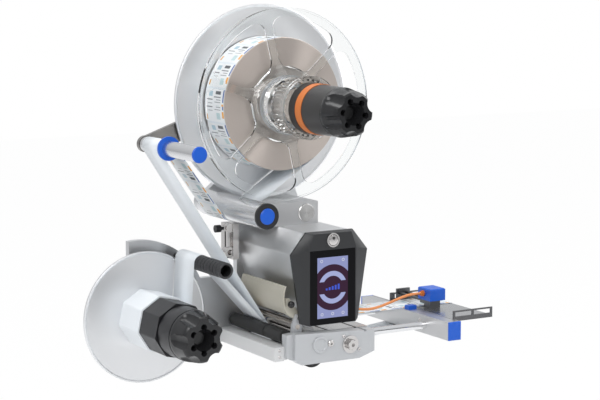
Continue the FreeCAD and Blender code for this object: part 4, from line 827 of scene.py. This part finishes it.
def build_world():
    """White where it is seen; a soft grey-to-white dome for light and reflections."""
    world = bpy.data.worlds.new("studio")
    bpy.context.scene.world = world
    world.use_nodes = True
    tree = world.node_tree
    tree.nodes.clear()
    out = tree.nodes.new("ShaderNodeOutputWorld")
    seen = tree.nodes.new("ShaderNodeBackground")
    dome = tree.nodes.new("ShaderNodeBackground")
    mix = tree.nodes.new("ShaderNodeMixShader")
    path = tree.nodes.new("ShaderNodeLightPath")
    any_seen = tree.nodes.new("ShaderNodeMath")
    any_seen.operation = "MAXIMUM"
    place = tree.nodes.new("ShaderNodeTexCoord")
    parts = tree.nodes.new("ShaderNodeSeparateXYZ")
    ramp = tree.nodes.new("ShaderNodeValToRGB")
    lift = tree.nodes.new("ShaderNodeMapRange")
    lift.inputs["From Min"].default_value = -1.0
    tree.links.new(place.outputs["Generated"], parts.inputs[0])
    tree.links.new(parts.outputs[2], lift.inputs["Value"])
    tree.links.new(lift.outputs["Result"], ramp.inputs["Fac"])
    ramp.color_ramp.elements[0].position = 0.30
    ramp.color_ramp.elements[0].color = rgb(0.42, 0.42, 0.43)
    ramp.color_ramp.elements[1].position = 0.85
    ramp.color_ramp.elements[1].color = rgb(0.92, 0.94, 0.96)
    flag = flag_mask(tree, parts)
    shade = tree.nodes.new("ShaderNodeMixRGB")
    shade.inputs["Color2"].default_value = rgb(0.02, 0.02, 0.02)
    tree.links.new(flag, shade.inputs["Fac"])
    tree.links.new(ramp.outputs["Color"], shade.inputs["Color1"])
    tree.links.new(shade.outputs["Color"], dome.inputs["Color"])
    dome.inputs["Strength"].default_value = 0.82
    seen.inputs["Color"].default_value = rgb(1, 1, 1)
    seen.inputs["Strength"].default_value = 1.0
    tree.links.new(path.outputs["Is Camera Ray"], any_seen.inputs[0])
    tree.links.new(path.outputs["Is Transmission Ray"], any_seen.inputs[1])
    tree.links.new(any_seen.outputs[0], mix.inputs["Fac"])
    tree.links.new(dome.outputs[0], mix.inputs[1])
    tree.links.new(seen.outputs[0], mix.inputs[2])
    tree.links.new(mix.outputs[0], out.inputs["Surface"])


def build_floor():
    """Pale floor well below the head; it keeps a faint shadow."""
    shape = bmesh.new()
    level = low[2] - FLOOR_DROP
    reach = FLOOR_REACH
    corners = [(-reach, -reach), (reach, -reach), (reach, reach), (-reach, reach)]
    shape.faces.new([shape.verts.new((x, y, level)) for x, y in corners])
    mesh = bpy.data.meshes.new("studio_floor")
    shape.to_mesh(mesh)
    shape.free()
    floor = bpy.data.objects.new("studio_floor", mesh)
    bpy.context.scene.collection.objects.link(floor)
    s = Shader("floor_paper")
    s.set(Base_Color=rgb(0.86, 0.86, 0.86), Roughness=0.9)
    glow = s.node("ShaderNodeEmission")
    glow.inputs["Color"].default_value = rgb(1, 1, 1)
    path = s.node("ShaderNodeLightPath")
    seen = s.math("MAXIMUM", path.outputs["Is Camera Ray"], path.outputs["Is Transmission Ray"])
    mix = s.node("ShaderNodeMixShader")
    s.link(s.math("MULTIPLY", seen, FLOOR_GLOW_SHARE), mix.inputs[0])
    s.link(s.bsdf.outputs[0], mix.inputs[1])
    s.link(glow.outputs[0], mix.inputs[2])
    s.link(mix.outputs[0], s.tree.nodes["Material Output"].inputs["Surface"])
    mesh.materials.append(s.material)


build_world()
build_floor()


# ------------------------------------------------------------------ the camera
CAMERA_PLACE = (-1.4220, -2.5321, 0.5032)
CAMERA_AZIMUTH = math.radians(-30.33)
CAMERA_ELEVATION = math.radians(7.68)
CAMERA_LENS_MM = 107.52
SENSOR_WIDTH_MM = 36.0


def place_camera():
    """Long lens from the operator's left, a little above the arm."""
    data = bpy.data.cameras.new("camera")
    data.lens = CAMERA_LENS_MM
    data.sensor_width = SENSOR_WIDTH_MM
    data.clip_end = 50.0
    camera = bpy.data.objects.new("camera", data)
    bpy.context.scene.collection.objects.link(camera)
    back = Vector((
        math.sin(CAMERA_AZIMUTH) * math.cos(CAMERA_ELEVATION),
        -math.cos(CAMERA_AZIMUTH) * math.cos(CAMERA_ELEVATION),
        math.sin(CAMERA_ELEVATION),
    ))
    camera.location = CAMERA_PLACE
    camera.rotation_euler = back.to_track_quat("Z", "Y").to_euler()
    bpy.context.scene.camera = camera


place_camera()
bpy.context.scene.view_settings.view_transform = "Standard"
